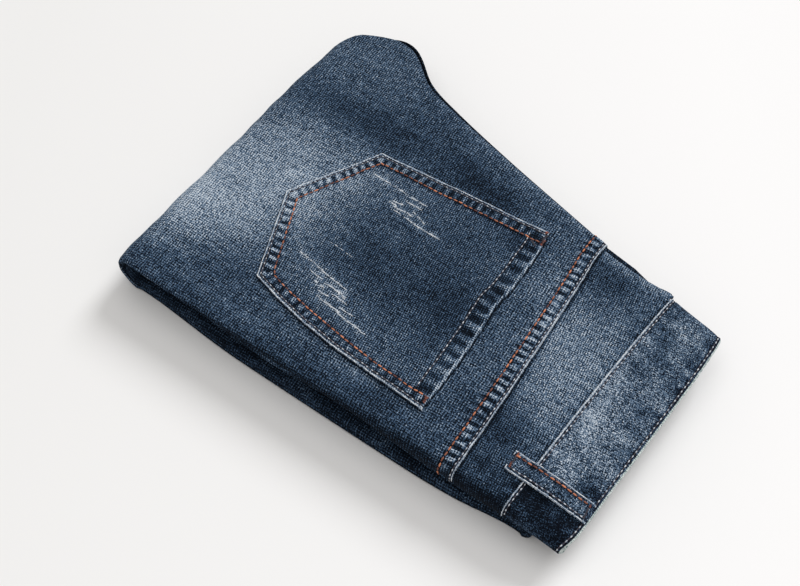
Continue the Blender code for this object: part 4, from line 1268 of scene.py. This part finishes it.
BAND_SEWN = slice(94, 420)          # of its route: from the side edge round to the left front
BAND_SHOWN = slice(95, 228)         # of its route: from the side edge to the centre back
yoke_navy = seat_row_line(2.0)
pocket_fine = inset_outline(FINE_ROW)
pocket_fine[0] = np.array((240.2, pocket_fine[0][1]))     # it starts at the pocket's opening
pocket_fine = pocket_line(pocket_fine)
hem_navy = pocket_line(HEM_ROW)
band_low, band_top = band_row_line(BAND_LOW_ROW, BAND_SEWN), band_row_line(BAND_TOP_ROW, BAND_SEWN)
loop_navy = strap_row_line(LOOP_NAVY, 0.15, 1)
loop_end = np.linspace(-0.46, 0.46, 12) * LOOP_WIDTH
loop_end = strap_line(loop_s[0] + 0.5, loop_t[0], loop_end, np.full(len(loop_end), strap_top[0] - 0.3))

# Where a folded edge is rubbed bare, its weft lies as a thin white line
orange, navy, tips, bare = [], [], [], []
for group, row, row_seed, sizes in (
        # yoke seam
        (orange, seat_row_line(YOKE_ORANGE), 3, ORANGE), (navy, yoke_navy, 4, NAVY),
        (tips, yoke_navy, 5, TIP), (bare, seat_row_line(0.55), 50, BARE_EDGE),
        # round the pocket, and across it at its hem
        (orange, pocket_line(ORANGE_ROW), 6, ORANGE), (navy, pocket_fine, 7, HEAVY_NAVY),
        (tips, pocket_fine, 8, SMALL_TIP), (navy, hem_navy, 9, NAVY), (tips, hem_navy, 10, TIP),
        (bare, pocket_line(inset_outline(0.5)), 51, BARE_EDGE),
        # band, beside its seam and below its edge
        (navy, band_low, 11, NAVY), (tips, band_low, 31, TIP), (navy, band_top, 12, NAVY),
        (tips, band_top, 32, TIP), (bare, band_row_line(0.6, BAND_SHOWN), 52, BARE_EDGE),
        # down the belt loop, along its two edges, and across its end on the yoke
        (orange, strap_row_line(LOOP_ORANGE, 0.15, 1), 34, ORANGE), (navy, loop_navy, 25, NAVY),
        (tips, loop_navy, 33, TIP), (bare, strap_row_line(LOOP_WIDTH / 2 - 0.7, 0.45, 0), 53, BARE_EDGE),
        (bare, strap_row_line(0.7 - LOOP_WIDTH / 2, 0.45, 0), 53, BARE_EDGE),
        (bare, loop_end, 54, BARE_EDGE)):
    group.append(row_threads(*row, seed=row_seed, **sizes))


def bartack(along, across, heading, length, width, surface, seed):
    """Dense zigzag of thread: short strands side by side across its length, headed in degrees."""
    draw = np.random.default_rng(seed)
    heading = math.radians(heading)
    count = int(length / 0.45)
    at = (np.arange(count) - (count - 1) / 2) * 0.45
    ux, uy = math.cos(heading), math.sin(heading)
    s = along + at * ux + draw.normal(0, 0.08, count)
    t = across + at * uy + draw.normal(0, 0.08, count)
    tilt = heading + math.pi / 2 + np.where(np.arange(count) % 2, 0.25, -0.25)
    way = np.column_stack([np.cos(tilt), np.sin(tilt), draw.normal(0, 0.08, count)])
    middle = np.column_stack([s, t, surface(s, t) + 0.28])
    return [middle, way, straight_up(count), width * draw.uniform(0.85, 1.1, count),
            np.full(count, 0.55), np.full(count, 0.5)]


def strap_surface(s, _):
    return np.interp(s, loop_s, strap_top)


tacks, plain_tacks = [
    [bartack(*row) for row in rows] for rows in (
        ((236.6, 176.0, 85, 5.0, 2.4, pocket_up, 1), (234.6, 184.6, 70, 3.4, 2.2, pocket_up, 2),
         (238.6, 31.0, 92, 4.6, 2.4, pocket_up, 3), (305.6, 25.0, 95, 4.0, 1.8, strap_surface, 4),
         (305.8, 33.0, 95, 3.4, 1.8, strap_surface, 5), (357.9, 32.6, 95, 3.0, 1.6, strap_surface, 6)),
        ((235.6, 180.3, 80, 6.0, 2.4, pocket_up, 7), (231.5, 171.6, 150, 6.0, 1.6, pocket_up, 8),
         (305.7, 29.0, 95, 5.0, 1.8, strap_surface, 9), (358.2, 27.0, 95, 8.0, 1.6, strap_surface, 10)))]


def scraped_threads():
    """Broken white weft where the pocket was scraped: short strands across and along each streak."""
    draw = np.random.default_rng(77)
    rows = []
    for s0, t0, s1, t1, width, strength in SCRAPES:
        run = math.hypot(s1 - s0, t1 - t0)
        heading = math.atan2(t1 - t0, s1 - s0)
        count = int(run * 1.6 * strength) + 3
        on = np.sort(draw.uniform(-0.5, run + 0.5, count))
        off = draw.normal(0, 0.095 * width, count)
        s = s0 + on * math.cos(heading) - off * math.sin(heading)
        t = t0 + on * math.sin(heading) + off * math.cos(heading)
        cross = draw.random(count) < 0.16
        tilt = np.where(cross, heading + math.pi / 2 + draw.normal(0, 0.35, count),
                        heading + draw.normal(0, 0.13, count))
        length = np.where(cross, draw.uniform(0.4, 1.0, count) * width * 0.75, draw.uniform(1.2, 3.6, count))
        length *= 0.7 + 0.5 * strength
        way = np.column_stack([np.cos(tilt), np.sin(tilt), draw.normal(0, 0.10, count)])
        middle = np.column_stack([s, t, pocket_up(s, t) + draw.uniform(0.08, 0.34, count)])
        rows.append([middle, way, straight_up(count), length, draw.uniform(0.26, 0.48, count),
                     np.full(count, 0.26)])
    return rows


for name, finish, groups, shade_seed, spread in (
        ("bare_edge_yarns", pale_thread, bare, 8, 0.55),
        ("orange_topstitch", orange_thread, orange, 1, 0.36),
        ("navy_topstitch", navy_thread, navy, 2, 0.15),
        ("worn_stitch_tips", worn_thread, tips, 3, 0.3),
        ("bartacks", rust_thread, tacks, 5, 0.35),
        ("worn_bartacks", navy_thread, plain_tacks, 6, 0.5),
        ("scraped_threads", bared_weft, scraped_threads(), 9, 0.35)):
    declare(sewn(name, finish, groups, shade_seed, spread))

# ---------------------------------------------------------------- floor, light and camera

FLOOR_BELOW = 0.0002            # the floor lies a hair below the cloth, clear of its lowest threads
clear_selection()
bpy.ops.mesh.primitive_plane_add(size=8.0, location=(0, 0, CORNER[2] - FLOOR_BELOW))
floor = bpy.context.object
floor.name = "studio_floor"
paper, tree, shader = new_material("matt_white_paper", 0.95)
where = add(tree, "TexCoord").outputs["Object"]
mottle = add(tree, "TexNoise", Vector=where, Scale=1.6, Detail=1.0).outputs[0]
place = add(tree, "SeparateXYZ", Vector=where)
run = sums(tree, "ADD", sums(tree, "MULTIPLY", place.outputs[0], 0.82),
           sums(tree, "MULTIPLY", place.outputs[1], 0.58))
# painted light falloff: the floor is painted paler towards the key light's side and greyer away from it
painted_falloff = add(tree, "MapRange", i0=run, i1=-0.34, i2=0.22, i3=0.0, i4=0.9).outputs[0]
white = sums(tree, "ADD", painted_falloff, sums(tree, "MULTIPLY", mottle, 0.1))
sheet_white = add(tree, "ValToRGB", Fac=white)
set_ramp(sheet_white, ((0.0, "#eeedec"), (1.0, "#fcfbfb")))
tree.links.new(sheet_white.outputs[0], shader.inputs["Base Color"])
shader.inputs["Specular IOR Level"].default_value = 0.0
floor.data.materials.append(paper)

world = bpy.data.worlds.new("studio")
bpy.context.scene.world = world
world.use_nodes = True
tree = world.node_tree
ground = tree.nodes["Background"]
AMBIENT, OVERHEAD, KEY = 0.38, 0.29, 0.35       # what each gives a white floor, of one for full white
BACKDROP = 0.94                 # how bright the room is seen, past the edge of the floor
ray = add(tree, "LightPath")
seen = sums(tree, "MAXIMUM", ray.outputs["Is Camera Ray"],
            sums(tree, "MAXIMUM", ray.outputs["Is Glossy Ray"], ray.outputs["Is Transmission Ray"]))
level = add(tree, "MapRange", i0=seen, i1=0.0, i2=1.0, i3=AMBIENT, i4=BACKDROP).outputs[0]
tree.links.new(level, ground.inputs["Strength"])
ground.inputs["Color"].default_value = (1.0, 0.985, 0.96, 1.0)


def far_light(name, place, energy, spread):
    """A far light: only its direction and the width of its face matter."""
    clear_selection()
    bpy.ops.object.light_add(type="SUN", location=place)
    light = bpy.context.object
    light.name = name
    light.data.energy = energy
    light.data.angle = math.radians(spread)
    return light


KEY_ELEVATION = math.radians(37)
KEY_HEADING = math.radians(84)      # from the centre-back side
key = far_light("softbox", (0, 0.6, 0.8), KEY * math.pi / math.sin(KEY_ELEVATION), 24)
key.data.color = (0.98, 0.99, 1.0)
toward = Vector((math.cos(KEY_ELEVATION) * math.cos(KEY_HEADING),
                 math.cos(KEY_ELEVATION) * math.sin(KEY_HEADING), math.sin(KEY_ELEVATION)))
key.rotation_euler = toward.to_track_quat("Z", "Y").to_euler()

far_light("overhead_softbox", (0, 0, 1.2), OVERHEAD * math.pi, 70)

CAMERA_AZIMUTH, CAMERA_ELEVATION = math.radians(35.2), math.radians(58)
CAMERA_PLACE = (0.4059, -0.2337, 0.6635)        # metres from the low corner of the solids' box
bpy.ops.object.camera_add(
    location=(CORNER[0] + CAMERA_PLACE[0], CORNER[1] + CAMERA_PLACE[1], CAMERA_PLACE[2]))
camera = bpy.context.object
forward = Vector((-math.sin(CAMERA_AZIMUTH) * math.cos(CAMERA_ELEVATION),
                  math.cos(CAMERA_AZIMUTH) * math.cos(CAMERA_ELEVATION), -math.sin(CAMERA_ELEVATION)))
camera.rotation_euler = forward.to_track_quat("-Z", "Y").to_euler()
camera.data.lens = 50
camera.data.sensor_width = 36
camera.data.clip_start, camera.data.clip_end = 0.05, 50
bpy.context.scene.camera = camera
bpy.context.scene.view_settings.view_transform = "Standard"
